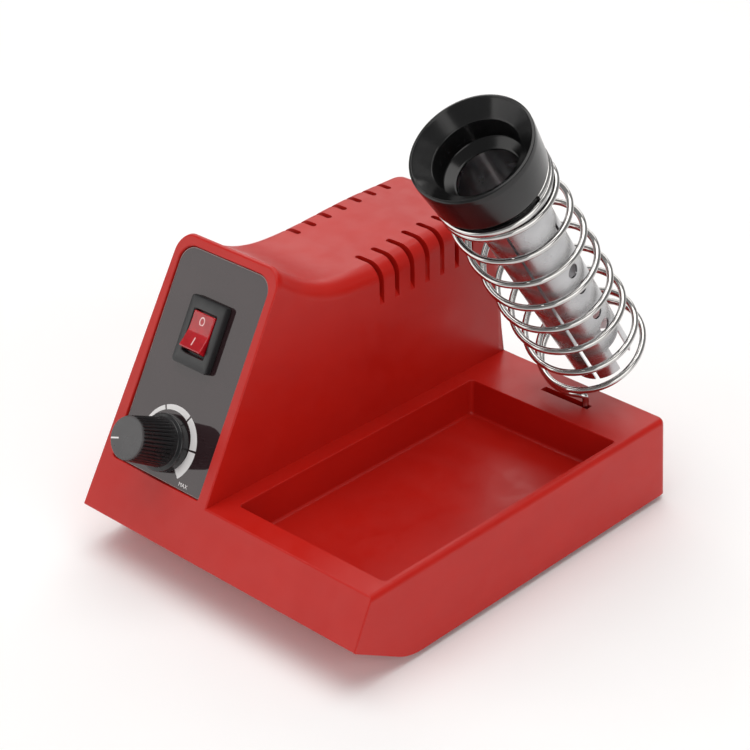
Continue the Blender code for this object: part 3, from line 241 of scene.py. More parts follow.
def metal(name, dark, light, rough, stretch, relief=0.1, scale=900):
    """Metal with drawn or rolled lines along one direction, and cloudy gloss."""
    made, nodes, links = new_material(name)
    shader = nodes["Principled BSDF"]
    shader.inputs["Metallic"].default_value = 1.0
    cloud = noise(nodes, links, 140, 5.0)
    links.new(ramp(nodes, links, cloud, dark, light), shader.inputs["Base Color"])
    lines = noise(nodes, links, scale, 3.0, stretch)
    links.new(ramp(nodes, links, lines, grey(rough[0]), grey(rough[1])), shader.inputs["Roughness"])
    bumped(nodes, links, shader, [(lines, relief, 0.00003), (cloud, 0.012, 0.0003)])
    return made


def gloss_film():
    """The printed film on the panel: dark grey under a clear gloss, with very faint orange peel."""
    made, nodes, links = new_material("label")
    shader = nodes["Principled BSDF"]
    tone = noise(nodes, links, 60, 3.0)
    film = ramp(nodes, links, tone, (0.026, 0.013, 0.015), (0.03, 0.016, 0.018))
    links.new(film, shader.inputs["Base Color"])
    gloss = noise(nodes, links, 240, 4.0)
    links.new(ramp(nodes, links, gloss, grey(0.035), grey(0.06)), shader.inputs["Roughness"])
    shader.inputs["Specular IOR Level"].default_value = 0.6
    peel = noise(nodes, links, 420, 1.0)
    bumped(nodes, links, shader, [(peel, 0.015, 0.0001)])
    return made


def lens_plastic():
    """Tinted, light-passing red of a lit rocker."""
    made, nodes, links = new_material("rocker_lens")
    shader = nodes["Principled BSDF"]
    cloud = noise(nodes, links, 320, 3.0)
    tint = ramp(nodes, links, cloud, (0.36, 0.004, 0.01), (0.46, 0.007, 0.014))
    links.new(tint, shader.inputs["Base Color"])
    gloss = noise(nodes, links, 500, 3.0)
    links.new(ramp(nodes, links, gloss, grey(0.1), grey(0.18)), shader.inputs["Roughness"])
    shader.inputs["Subsurface Weight"].default_value = 0.35
    shader.inputs["Subsurface Radius"].default_value = (0.004, 0.0006, 0.0006)
    shader.inputs["Subsurface Scale"].default_value = 0.5
    shader.inputs["Coat Weight"].default_value = 0.15
    shader.inputs["Coat Roughness"].default_value = 0.05
    bumped(nodes, links, shader, [(gloss, 0.04, 0.0001)])
    return made


def clear_glass():
    made, nodes, links = new_material("glass")
    shader = nodes["Principled BSDF"]
    shader.inputs["Transmission Weight"].default_value = 0.85
    shader.inputs["IOR"].default_value = 1.5
    cloud = noise(nodes, links, 400, 3.0)
    links.new(ramp(nodes, links, cloud, (0.85, 0.8, 0.74), (0.95, 0.93, 0.9)), shader.inputs["Base Color"])
    links.new(ramp(nodes, links, cloud, grey(0.03), grey(0.09)), shader.inputs["Roughness"])
    return made


RED = moulded("red_plastic", (0.47, 0.0095, 0.0052), (0.5, 0.0112, 0.006), (0.3, 0.4), specular=0.3)
BLACK = moulded("black_plastic", (0.0095, 0.0095, 0.0105), (0.0135, 0.0135, 0.0145), (0.2, 0.3), 1800, 0.08)
BEZEL = moulded("bezel_plastic", (0.009, 0.009, 0.01), (0.013, 0.013, 0.014), (0.28, 0.4), 2200, 0.12)
FUNNEL = moulded(
    "funnel_plastic", (0.005, 0.005, 0.0052), (0.008, 0.008, 0.0083), (0.14, 0.22), 1500, 0.04, 0.4
)
CAP = moulded("knob_cap", (0.05, 0.048, 0.05), (0.062, 0.06, 0.062), (0.24, 0.34), 2200, 0.08)
RUBBER = moulded("rubber", (0.012, 0.012, 0.012), (0.02, 0.02, 0.02), (0.62, 0.8), 1500, 0.3)
INK = moulded("printed_ink", (0.78, 0.76, 0.76), (0.84, 0.82, 0.82), (0.35, 0.45), 1800, 0.05)
MARK = moulded("rocker_mark", (0.8, 0.5, 0.5), (0.86, 0.58, 0.57), (0.3, 0.4), 1800, 0.05)
FILM_EDGE = moulded("film_edge", (0.3, 0.2, 0.2), (0.4, 0.28, 0.28), (0.35, 0.45), 1800, 0.05)
LABEL_FILM = gloss_film()
LENS = lens_plastic()
GLASS = clear_glass()
STEEL = metal("steel", (0.5, 0.5, 0.5), (0.6, 0.6, 0.6), (0.22, 0.36), (1, 1, 5))
CHROME = metal("plated_wire", (0.5, 0.49, 0.48), (0.6, 0.59, 0.58), (0.05, 0.1), (1, 1, 1), 0.03, 300)
ALUMINIUM = metal("aluminium", (0.46, 0.46, 0.47), (0.53, 0.53, 0.54), (0.21, 0.28), (1, 1, 1), 0.006, 130)
BRASS = metal("brass", (0.66, 0.46, 0.2), (0.78, 0.58, 0.28), (0.24, 0.36), (1, 1, 4))
LAMINATE = moulded("laminate", (0.3, 0.19, 0.06), (0.42, 0.28, 0.1), (0.4, 0.55), 900, 0.2)
FILM = moulded("capacitor_case", (0.3, 0.03, 0.02), (0.42, 0.05, 0.03), (0.25, 0.35))
FERRITE = moulded("ferrite", (0.06, 0.06, 0.065), (0.1, 0.1, 0.105), (0.5, 0.65), 1200, 0.3)
CERAMIC = moulded("resistor_coat", (0.26, 0.36, 0.46), (0.36, 0.46, 0.56), (0.3, 0.42))
INSULATION = moulded("wire_insulation", (0.02, 0.07, 0.32), (0.03, 0.1, 0.42), (0.36, 0.48))
BLOCK = moulded("terminal_block", (0.02, 0.17, 0.06), (0.03, 0.24, 0.09), (0.36, 0.48))

SLOT_MATERIALS = {
    "red_plastic": RED,
    "black_plastic": BLACK,
    "label": LABEL_FILM,
    "knob_cap": CAP,
    "rubber": RUBBER,
    "rocker_lens": LENS,
    "glass": GLASS,
    "steel": STEEL,
    "plated_wire": CHROME,
    "aluminium": ALUMINIUM,
    "brass": BRASS,
    "laminate": LAMINATE,
    "capacitor_case": FILM,
    "ferrite": FERRITE,
    "resistor_coat": CERAMIC,
    "wire_insulation": INSULATION,
    "terminal_block": BLOCK,
}


def repaint_cad_nodes():
    """Gives every CAD node the finished material of its slot."""
    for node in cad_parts.values():
        slots = [old.name.split(".")[0] for old in node.data.materials if old]
        found = [SLOT_MATERIALS[slot] for slot in slots if slot in SLOT_MATERIALS]
        node.data.materials.clear()
        node.data.materials.append(found[0] if found else BLACK)


# ---------------------------------------------------------------- mesh helpers


def put(name, mesh, place, material, angle=32):
    made = bpy.data.objects.new(name, mesh)
    bpy.context.scene.collection.objects.link(made)
    mesh.transform(place)
    mesh.materials.clear()
    mesh.materials.append(material)
    mesh.shade_smooth()
    mesh.set_sharp_from_angle(angle=math.radians(angle))
    return made


def mesh_of(name, points, faces):
    mesh = bpy.data.meshes.new(name)
    mesh.from_pydata([tuple(point) for point in points], [], faces)
    shape = bmesh.new()
    shape.from_mesh(mesh)
    bmesh.ops.remove_doubles(shape, verts=shape.verts, dist=1e-7)
    bmesh.ops.recalc_face_normals(shape, faces=shape.faces)
    if shape.calc_volume(signed=True) < 0:
        bmesh.ops.reverse_faces(shape, faces=shape.faces)
    shape.to_mesh(mesh)
    shape.free()
    return mesh


def loft(name, loops, closed=False):
    """A mesh through loops of equal length, capped at both ends or joined back to its start."""
    count = len(loops[0])
    points = [point for loop in loops for point in loop]
    faces = []
    rows = len(loops) if closed else len(loops) - 1
    for row in range(rows):
        here = row * count
        there = (row + 1) % len(loops) * count
        for i in range(count):
            j = (i + 1) % count
            faces.append((here + i, here + j, there + j, there + i))
    if not closed:
        faces.append(tuple(reversed(range(count))))
        faces.append(tuple(range(len(points) - count, len(points))))
    return mesh_of(name, points, faces)


def revolve(name, profile, steps=96, reach=None):
    """Turns (radius, height) rows about Z. reach(radius, turn, height) may shape the radius."""
    hollow = all(radius > 0 for radius, _ in profile)
    points = []
    for radius, height in profile:
        for step in range(steps):
            turn = 2 * math.pi * step / steps
            out = reach(radius, turn, height) if reach else radius
            points.append((out * math.cos(turn), out * math.sin(turn), height))
    faces = []
    rows = len(profile) if hollow else len(profile) - 1
    for row in range(rows):
        here = row * steps
        there = (row + 1) % len(profile) * steps
        for i in range(steps):
            j = (i + 1) % steps
            faces.append((here + i, here + j, there + j, there + i))
    return mesh_of(name, points, faces)


def fillet(before, corner, after, radius, steps):
    """Points of the arc that rounds a corner of an outline."""
    before, corner, after = Vector(before), Vector(corner), Vector(after)
    back, on = (before - corner).normalized(), (after - corner).normalized()
    half = back.angle(on) / 2
    middle = corner + (back + on).normalized() * radius / math.sin(half)
    start = (corner + back * radius / math.tan(half) - middle).normalized()
    end = (corner + on * radius / math.tan(half) - middle).normalized()
    return [tuple(middle + start.slerp(end, step / steps) * radius) for step in range(steps + 1)]


def softened(corners, steps=5):
    """An outline or profile with each (x, y, radius) corner rounded, where its radius isn't 0."""
    made = []
    for i, (x, y, radius) in enumerate(corners):
        before, after = corners[i - 1][:2], corners[(i + 1) % len(corners)][:2]
        made += fillet(before, (x, y), after, radius, steps) if radius else [(x, y)]
    return made


def rounded_rectangle(left, low, right, high, radius, steps=8, grown=0.0):
    low_radius = radius if isinstance(radius, (int, float)) else radius[0]
    high_radius = radius if isinstance(radius, (int, float)) else radius[1]
    corners = [
        (left - grown, low - grown, low_radius),
        (right + grown, low - grown, low_radius),
        (right + grown, high + grown, high_radius),
        (left - grown, high + grown, high_radius),
    ]
    return softened(corners, steps)


def lifted(outline, height):
    return [(x, y, height) for x, y in outline]


def tool(name, mesh, place=None):
    """A helper for a Boolean, removed once it is used."""
    made = bpy.data.objects.new(name, mesh)
    bpy.context.scene.collection.objects.link(made)
    if place:
        mesh.transform(place)
    return made


def combine(target, other, operation):
    modifier = target.modifiers.new(other.name, "BOOLEAN")
    modifier.operation = operation
    modifier.object = other
    modifier.solver = "EXACT"


def settle(target, *helpers):
    """Applies the modifiers, then removes the helpers."""
    graph = bpy.context.evaluated_depsgraph_get()
    mesh = bpy.data.meshes.new_from_object(target.evaluated_get(graph))
    target.modifiers.clear()
    target.data = mesh
    for helper in helpers:
        bpy.data.objects.remove(helper)


def round_edges(target, radius, weight_of, segments):
    mesh = target.data
    weights = mesh.attributes.get("bevel_weight_edge") or mesh.attributes.new(
        "bevel_weight_edge", "FLOAT", "EDGE"
    )
    for edge in mesh.edges:
        first, second = (mesh.vertices[i].co for i in edge.vertices)
        weights.data[edge.index].value = weight_of(first, second)
    bevel = target.modifiers.new("Rounding", "BEVEL")
    bevel.limit_method = "WEIGHT"
    bevel.width = radius
    bevel.segments = segments
    bevel.use_clamp_overlap = False


def eased(target, width, segments=3, angle=30):
    """Rounds every sharp edge a little, so that it catches the light."""
    bevel = target.modifiers.new("Eased edges", "BEVEL")
    bevel.limit_method = "ANGLE"
    bevel.angle_limit = math.radians(angle)
    bevel.width = width
    bevel.segments = segments
    bevel.harden_normals = True
    settle(target)
    return target


def evened(target):
    """Keeps large flat faces flat beside their rounded edges."""
    modifier = target.modifiers.new("Even normals", "WEIGHTED_NORMAL")
    modifier.keep_sharp = True
    return target


def show(piece, body, slot, *nodes):
    """Ties a finished piece to its CAD body, in place of its CAD nodes; the slot is not used."""
    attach(piece, body)
    if nodes:
        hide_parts(*nodes)
    return piece


# ---------------------------------------------------------------- housing


def left_x(z):
    return LEFT_DRAFT * z


def right_x(z):
    return WIDTH - RIGHT_DRAFT * z


def tower_x(z):
    return TOWER_WIDTH - TOWER_DRAFT * z


def rear_y(z):
    return DEPTH - REAR_DRAFT * z


def front_y(z, depth=0.0):
    return math.tan(FRONT_LEAN) * (z - CHIN_HEIGHT) + depth / math.cos(FRONT_LEAN)


def front_outline(inset):
    low, deck, top = -MARGIN, DECK - inset, PANEL_TOP + MARGIN
    return [
        (left_x(low) + inset, low),
        (right_x(low) - inset, low),
        (right_x(deck) - inset, deck),
        (tower_x(deck) - inset, deck),
        (tower_x(top) - inset, top),
        (left_x(top) + inset, top),
    ]


def side_outline():
    """The outside seen from the right: chin, underside, rear, roof with its dip, and the lip."""
    lip = front_y(PANEL_TOP) + PANEL_LIP
    roof_rear = (rear_y(ROOF), ROOF)
    fall, sweep = [], []
    for step in range(12):
        share = step / 12
        drop = (ROOF - ROOF_DIP) * share * share * (3 - 2 * share)
        fall.append((ROOF_LEVEL_Y + (ROOF_DIP_Y - ROOF_LEVEL_Y) * share, ROOF - drop))
    for step in range(25):
        share = step / 24
        rise = (PANEL_TOP - ROOF_DIP) * share**SWEEP_POWER
        sweep.append((ROOF_DIP_Y + (lip - ROOF_DIP_Y) * share, ROOF_DIP + rise))
    return [
        (0, CHIN_HEIGHT),
        *fillet((0, CHIN_HEIGHT), (CHIN_DEPTH, 0), (DEPTH, 0), CHIN_RADIUS, 10),
        (DEPTH, 0),
        *fillet((DEPTH, 0), roof_rear, (ROOF_LEVEL_Y, ROOF), REAR_ROOF, 10),
        *fall,
        *sweep,
        (front_y(PANEL_TOP), PANEL_TOP),
    ]


def inner_outline():
    floor, roof = WALL, ROOF - WALL
    dip, crown = ROOF_DIP - WALL, ROOF_DIP + 2 * WALL
    chin = CHIN_HEIGHT - GAP
    return [
        (front_y(chin, FRONT_WALL), chin),
        (COVER_FRONT, floor),
        (rear_y(floor) - WALL, floor),
        (rear_y(roof) - WALL, roof),
        (ROOF_LEVEL_Y, roof),
        (ROOF_DIP_Y, dip),
        (front_y(crown) + CROWN_REACH, dip),
        (front_y(crown, FRONT_WALL), crown),
    ]


def body(name, inset, outline):
    """The solid where the front view and the side view of the housing meet."""
    across = (-MARGIN, WIDTH + MARGIN)
    along = (-MARGIN, DEPTH + MARGIN)
    side = loft(name, [[(x, y, z) for y, z in outline] for x in across])
    front = loft(name + "_front", [[(x, y, z) for x, z in front_outline(inset)] for y in along])
    made, cutter = tool(name, side), tool(name + "_front", front)
    combine(made, cutter, "INTERSECT")
    settle(made, cutter)
    return made


def roof_weight(inset):
    """Full rounding where a tower side meets the roof, part of it down the rear corners."""

    def weight(first, second):
        place = (first + second) / 2
        tight = 1e-5
        on_left = abs(place.x - left_x(place.z) - inset) < tight
        on_tower = abs(place.x - tower_x(place.z) + inset) < tight and place.z > DECK
        on_right = abs(place.x - right_x(place.z) + inset) < tight and place.z < DECK
        on_rear = abs(place.y - rear_y(place.z) + inset) < tight
        if on_rear and (on_left or on_tower or on_right):
            return REAR_EDGE / ROOF_EDGE
        ahead = abs(place.y - front_y(place.z, FRONT_WALL if inset else 0)) > tight
        high = place.z > ROOF_DIP - REAR_ROOF - WALL
        level = abs((second - first).normalized().x) < 0.5
        return float(ahead and high and (on_left or on_tower) and level)

    return weight


def soft_weight(first, second):
    """The base's upper edges in full, and the front plane's own outline by a smaller share."""
    tight = 2e-5
    if all(abs(p.y - front_y(p.z)) < tight for p in (first, second)):
        return FRONT_EDGE / SOFT_EDGE
    on_deck = all(abs(p.z - DECK) < tight for p in (first, second))
    on_right = all(abs(p.x - right_x(p.z)) < tight for p in (first, second))
    on_rear = all(abs(p.y - rear_y(p.z)) < tight for p in (first, second))
    on_corner = on_deck and min(first.x, second.x) > TOWER_WIDTH and max(first.y, second.y) > DEPTH - 0.005
    return float(on_deck and (on_right or on_rear or on_corner))


def tray_cutter():
    """The tray's hollow: rounded floor edges, upright corners and a rounded lip."""
    loops = []
    for step in range(6):
        angle = math.pi / 2 * step / 5
        inset = TRAY_FOOT * (1 - math.sin(angle))
        height = TRAY_FLOOR + TRAY_FOOT * (1 - math.cos(angle))
        loops.append(lifted(rounded_rectangle(*TRAY, TRAY_CORNER - inset, 8, -inset), height))
    for step in range(6):
        angle = math.pi / 2 * step / 5
        grown = TRAY_LIP * (1 - math.cos(angle))
        height = DECK - TRAY_LIP * (1 - math.sin(angle)) + 4e-5
        loops.append(lifted(rounded_rectangle(*TRAY, TRAY_CORNER + grown, 8, grown), height))
    top = rounded_rectangle(*TRAY, TRAY_CORNER + TRAY_LIP, 8, TRAY_LIP)
    loops.append(lifted(top, DECK + MARGIN))
    return loft("tray", loops)


def tray_shell():
    outline = rounded_rectangle(*TRAY, TRAY_CORNER, 4, WALL)
    return loft("tray_shell", [lifted(outline, TRAY_FLOOR - WALL), lifted(outline, DECK + MARGIN)])


def vent_loops(mirrored, row):
    """One slot: round-ended on the roof, running out over the edge and getting deeper outwards."""
    inner, outer, half = TOWER_WIDTH - VENT_INSET, TOWER_WIDTH + MARGIN, VENT_HALF
    outline = []
    for step in range(13):
        angle = math.pi * step / 12
        outline.append((inner + half - half * math.sin(angle), half * math.cos(angle)))
    outline += [(outer, -half), (outer, half)]
    base = ROOF - WALL - GAP
    low, high = [], []
    for x, y in outline:
        across = TOWER_WIDTH - x if mirrored else x
        low.append((across, y + row, base - VENT_SLOPE * (x - inner)))
        high.append((across, y + row, PANEL_TOP))
    return [low, high]


def pocket_cutter():
    """The label's pocket with a fine chamfer round its mouth."""
    loops = []
    for depth, grown in ((-LABEL_POCKET, 0.0), (-0.00025, 0.0), (0.0001, 0.0003), (MARGIN, 0.0003)):
        loops.append(lifted(rounded_rectangle(*LABEL, (0.0008, LABEL_CORNER), 8, grown), depth))
    return loft("pocket", loops)


def slab(name, low, high):
    left, front, bottom = low
    right, rear, top = high
    outline = [(left, front), (right, front), (right, rear), (left, rear)]
    return loft(name, [lifted(outline, bottom), lifted(outline, top)])


def bar(name, start, radius, length, steps=48):
    """A round cutter along Y from start."""
    x, y, z = start
    loops = []
    for reach in (0, length):
        turns = [2 * math.pi * step / steps for step in range(steps)]
        loops.append([(x + radius * math.cos(t), y + reach, z + radius * math.sin(t)) for t in turns])
    return loft(name, loops)


def switch_cutter(bottom, top):
    """The rectangular hole for the switch's case, in the panel's own frame."""
    half_x, half_up = SWITCH_HOLE
    low = (CONTROL_X - half_x, SWITCH_UP - half_up, bottom)
    return slab("switch_hole", low, (CONTROL_X + half_x, SWITCH_UP + half_up, top))


def spindle_cutter(bottom, top):
    """The round hole for the potentiometer's shaft, in the panel's own frame."""
    rows = [(0, bottom), (SPINDLE_HOLE, bottom), (SPINDLE_HOLE, top), (0, top)]
    mesh = revolve("spindle_hole", rows, 32)
    mesh.transform(Matrix.Translation((CONTROL_X, KNOB_UP, 0)))
    return mesh


def build_housing():
    made = body("housing_shell", 0, side_outline())
    round_edges(made, ROOF_EDGE, roof_weight(0), 8)
    settle(made)
    round_edges(made, SOFT_EDGE, soft_weight, 4)
    settle(made)
    cavity = body("cavity", WALL, inner_outline())
    round_edges(cavity, ROOF_EDGE - WALL, roof_weight(WALL), 4)
    settle(cavity)
    shell = tool("tray_shell", tray_shell())
    low = (COVER_SIDE, COVER_FRONT, -MARGIN)
    high = (WIDTH - COVER_SIDE, DEPTH - COVER_SIDE, WALL + GAP)
    opening = tool("opening", slab("opening", low, high))
    combine(cavity, shell, "DIFFERENCE")
    combine(cavity, opening, "UNION")
    settle(cavity, shell, opening)
    inverse = STATION.inverted() @ PANEL
    low = (SOCKET[0], SOCKET_Y - SOCKET_HALF, DECK - SOCKET_DEPTH)
    high = (SOCKET[1], SOCKET_Y + SOCKET_HALF, DECK + MARGIN)
    cutters = [
        cavity,
        tool("tray", tray_cutter()),
        tool("pocket", pocket_cutter(), inverse),
        tool("window", switch_cutter(-PANEL_CUT, MARGIN), inverse),
        tool("spindle", spindle_cutter(-PANEL_CUT, MARGIN), inverse),
        tool("socket", slab("socket", low, high)),
    ]
    for name, across, radius in OUTLETS:
        start = (across, OUTLET_START, OUTLET_HEIGHT)
        cutters.append(tool(name, bar(name, start, radius, OUTLET_REACH)))
    for number in range(VENT_COUNT):
        for mirrored in (False, True):
            slot = loft("vent", vent_loops(mirrored, VENT_FIRST + VENT_PITCH * number))
            cutters.append(tool(f"vent_{number}_{int(mirrored)}", slot))
    for cutter in cutters:
        combine(made, cutter, "DIFFERENCE")
    settle(made, *cutters)
    put_back = made.data
    bpy.data.objects.remove(made)
    shown = put("housing_shell", put_back, STATION, RED, 30)
    evened(shown)
    show(shown, "station", "red_plastic", "housing")


# ---------------------------------------------------------------- front panel


def build_label():
    outline = [LABEL[0] + GAP, LABEL[1] + GAP, LABEL[2] - GAP, LABEL[3] - GAP]
    radii = (0.0006, LABEL_CORNER - GAP)
    loops = []
    for height, inset in ((-0.0013, 0.0), (LABEL_FACE - 0.0001, 0.0), (LABEL_FACE, 0.0001)):
        loops.append(lifted(rounded_rectangle(*outline, radii, 8, -inset), height))
    made = tool("front_film", loft("front_film", loops))
    cutters = [
        tool("hole", spindle_cutter(-FILM_CUT, FILM_CUT)),
        tool("window", switch_cutter(-FILM_CUT, FILM_CUT)),
    ]
    for cutter in cutters:
        combine(made, cutter, "DIFFERENCE")
    settle(made, *cutters)
    mesh = made.data
    bpy.data.objects.remove(made)
    film = put("front_film", mesh, PANEL, LABEL_FILM, 30)
    evened(film)
    show(film, "station", "label", "front_label")
    high = LABEL_FACE + FILM_EDGE_LIFT
    wide = FILM_EDGE_WIDTH
    rim = []
    for height, inset in ((FILM_EDGE_ROOT, 0.0), (high, 0.0), (high, wide), (FILM_EDGE_ROOT, wide)):
        rim.append(lifted(rounded_rectangle(*outline, radii, 8, -inset), height))
    show(put("front_film_edge", loft("rim", rim, True), PANEL, FILM_EDGE, 30), "station", "label")


def arc_piece(start, end, outer, first, last, lift):
    """A printed arc segment clockwise from 12 o'clock, whose width grows from first to last."""
    steps = max(2, round(abs(end - start) / math.radians(3)))
    low, high = [], []
    for step in range(steps + 1):
        share = step / steps
        turn = start + (end - start) * share
        width = first + (last - first) * share
        for radius, row in ((outer, high), (outer - width, low)):
            row.append((radius * math.sin(turn), radius * math.cos(turn)))
    outline = high + list(reversed(low))
    return loft("arc", [lifted(outline, 0.0), lifted(outline, lift)])


def build_scale():
    """The printed scale round the knob, which widens clockwise."""
    place = KNOB @ Matrix.Translation((0, 0, PRINT_LIFT))
    last = len(SCALE_BOUNDS) - 2
    for number in range(last + 1):
        begin = math.radians(SCALE_BOUNDS[number]) + SCALE_GAP * (number > 0)
        end = math.radians(SCALE_BOUNDS[number + 1]) - SCALE_GAP * (number < last)
        widths = [SCALE_LEAST + SCALE_GROWTH * math.degrees(turn) + SCALE_WIDTH for turn in (begin, end)]
        mesh = arc_piece(begin, end, SCALE_RADIUS, *widths, MARK_THICK)
        show(put(f"scale_arc_{number + 1}", mesh, place, INK), "station", "label")


def lettering(name, text, size, place, material, body_name, slot):
    curve = bpy.data.curves.new(name, "FONT")
    curve.body = text
    curve.size = size
    curve.align_x = "CENTER"
    curve.align_y = "CENTER"
    curve.extrude = 0.00003
    guide = bpy.data.objects.new(name + "_text", curve)
    bpy.context.scene.collection.objects.link(guide)
    graph = bpy.context.evaluated_depsgraph_get()
    mesh = bpy.data.meshes.new_from_object(guide.evaluated_get(graph))
    bpy.data.objects.remove(guide)
    return show(put(name, mesh, place, material), body_name, slot)


def build_switch():
    """A bezel with rounded edges. The walls of its deep well run on through its flat underside."""
    base = LABEL_FACE + GAP
    top = base + BEZEL_HEIGHT
    outer = (
        (base, 0.0, 0.0011),
        (top - 0.0006, 0.0, 0.0011),
        (top - 0.0002, 0.00012, 0.001),
        (top, 0.0005, 0.0008),
    )
    inner = ((top, 0.0003, 0.0006), (top - 0.00025, 0.0, 0.0005), (top - WELL_DEPTH, 0.0, 0.0005))
    loops = []
    for height, inset, radius in outer:
        x, up = BEZEL_HALF[0] - inset, BEZEL_HALF[1] - inset
        loops.append(lifted(rounded_rectangle(-x, -up, x, up, radius, 4), height))
    for height, grown, radius in inner:
        x, up = WELL_HALF[0] + grown, WELL_HALF[1] + grown
        loops.append(lifted(rounded_rectangle(-x, -up, x, up, radius, 4), height))
    place = PANEL @ Matrix.Translation((CONTROL_X, SWITCH_UP, 0))
    made = put("switch_bezel", loft("bezel", loops), place, BEZEL, 30)
    show(made, "station", "black_plastic", "switch_body")


def rocker_top(up):
    """Height of the rocker's shallow V at a distance from its middle."""
    dip = ROCKER_HALF * math.tan(ROCKER_TILT)
    share = abs(up) / ROCKER_HALF
    bow = 0.38 * dip * share / 0.5 if share < 0.5 else 0.38 * dip + 0.62 * dip * (share - 0.5) / 0.5
    return ROCKER_HEIGHT - dip + bow


def build_rocker():
    half, wide = ROCKER_HALF, ROCKER_WIDE
    outline = [(-half, -0.00225), (-half * 0.8, -0.003), (half * 0.8, -0.003), (half, -0.00225)]
    half -= ROCKER_END_DRAFT
    for step in range(ROCKER_STEPS + 1):
        up = half - 2 * half * step / ROCKER_STEPS
        outline.append((up, rocker_top(up)))
    mesh = loft("rocker", [[(x, up, z) for up, z in outline] for x in (-wide, wide)])
    made = tool("rocker", mesh)
    eased(made, 0.00035, 3, 40)
    mesh = made.data
    bpy.data.objects.remove(made)
    rocker = put("rocker_cap", mesh, ROCKER, LENS, 30)
    evened(rocker)
    show(rocker, "rocker", "rocker_lens", "switch_rocker")
    ring_place = ROCKER @ Matrix.Translation((0, 0.0032, rocker_top(0.0032) + 0.00001))
    ring_place = ring_place @ Matrix.Rotation(math.atan(0.19), 4, "X")
    rows = [(0.00125, MARK_THICK), (0.00125, -MARK_ROOT), (0.00088, -MARK_ROOT), (0.00088, MARK_THICK)]
    ring = revolve("o", rows, 48)
    ring.transform(Matrix.Diagonal((0.85, 1.15, 1, 1)))
    show(put("mark_off", ring, ring_place, MARK), "rocker", "rocker_lens")
    bar_place = ROCKER @ Matrix.Translation((0, -0.0031, rocker_top(0.0031) + 0.00001))
    bar_place = bar_place @ Matrix.Rotation(-math.atan(0.17), 4, "X")
    outline = rounded_rectangle(-0.0002, -0.0013, 0.0002, 0.0013, 0.00012, 3)
    stroke = loft("i", [lifted(outline, -MARK_ROOT), lifted(outline, MARK_THICK)])
    show(put("mark_on", stroke, bar_place, MARK), "rocker", "rocker_lens")


KNOB_TOP = 0.0177
FLUTES = 36


def fluted(radius, turn, height):
    """Ribs down the knob's waist, fading out at its skirt and its top edge."""
    if radius < 0.0062 or radius > 0.0078:
        return radius
    fade = min(1.0, max(0.0, (height - 0.0042) / 0.0012), max(0.0, (KNOB_TOP - height) / 0.0006))
    groove = abs(math.sin(FLUTES * turn / 2))
    return radius - 0.00042 * fade * (1 - groove) ** 1.5


def build_knob():
    profile = softened(
        [
            (0.0088, 0.0004, 0.0002),
            (0.0088, 0.0034, 0.0005),
            (0.00755, 0.0037, 0.0003),
            (0.0067, KNOB_TOP - 0.0006, 0.0002),
            (0.0061, KNOB_TOP - 0.0006, 0),
            (0.0061, KNOB_TOP - 0.0018, 0),
            (0.0015, KNOB_TOP - 0.0018, 0),
            (0.0015, 0.013, 0),
            (0.0031, 0.013, 0),
            (0.0031, 0.005, 0),
            (0.0068, 0.005, 0),
            (0.0068, 0.0004, 0.0001),
        ]
    )
    rows = []
    for i, (radius, height) in enumerate(profile):
        rows.append((radius, height))
        after = profile[(i + 1) % len(profile)]
        if abs(after[1] - height) > 0.008 and radius > 0.006:
            for step in range(1, 13):
                share = step / 13
                rows.append((radius + (after[0] - radius) * share, height + (after[1] - height) * share))
    made = put("control_knob", revolve("knob", rows, FLUTES * 10, fluted), KNOB, BLACK, 40)
    show(made, "knob", "black_plastic", "knob")
    disc = softened(
        [
            (0, KNOB_TOP - 0.0012, 0),
            (0.0058, KNOB_TOP - 0.0012, 0),
            (0.0058, KNOB_TOP - 0.0006, 0),
            (0.0065, KNOB_TOP - 0.0006, 0),
            (0.0065, KNOB_TOP, 0.00035),
            (0, KNOB_TOP - 0.00002, 0),
        ]
    )
    made = put("control_cap", revolve("cap", disc, 96), KNOB, CAP, 30)
    show(made, "knob", "knob_cap", "knob_cap")
    place = KNOB @ Matrix.Rotation(math.radians(109), 4, "Z")
    outline = rounded_rectangle(-0.00024, 0.0031, 0.00024, 0.0062, 0.0001, 3)
    line = loft("pointer", [lifted(outline, KNOB_TOP - 0.0002), lifted(outline, KNOB_TOP + 0.00003)])
    show(put("pointer_line", line, place, INK), "knob", "knob_cap")


# ---------------------------------------------------------------- iron holder


def coil_path():
    axis = Matrix.Translation(MOUTH) @ Matrix.Rotation(math.pi / 2 - HOLDER_ANGLE, 4, "X")
    turns = TOP_TURNS + OPEN_TURNS + END_TURNS
    path = []
    for step in range(round(turns * COIL_STEPS) + 1):
        turn = step / COIL_STEPS
        close = min(turn, TOP_TURNS) + max(turn - TOP_TURNS - OPEN_TURNS, 0)
        opened = min(max(turn - TOP_TURNS, 0), OPEN_TURNS)
        along = COIL_START + close * COIL_CLOSE + opened * COIL_PITCH
        angle = 2 * math.pi * turn
        reach = (COIL_RADIUS * math.cos(angle), COIL_RADIUS * math.sin(angle), -along)
        path.append(axis @ Vector(reach))
    return path


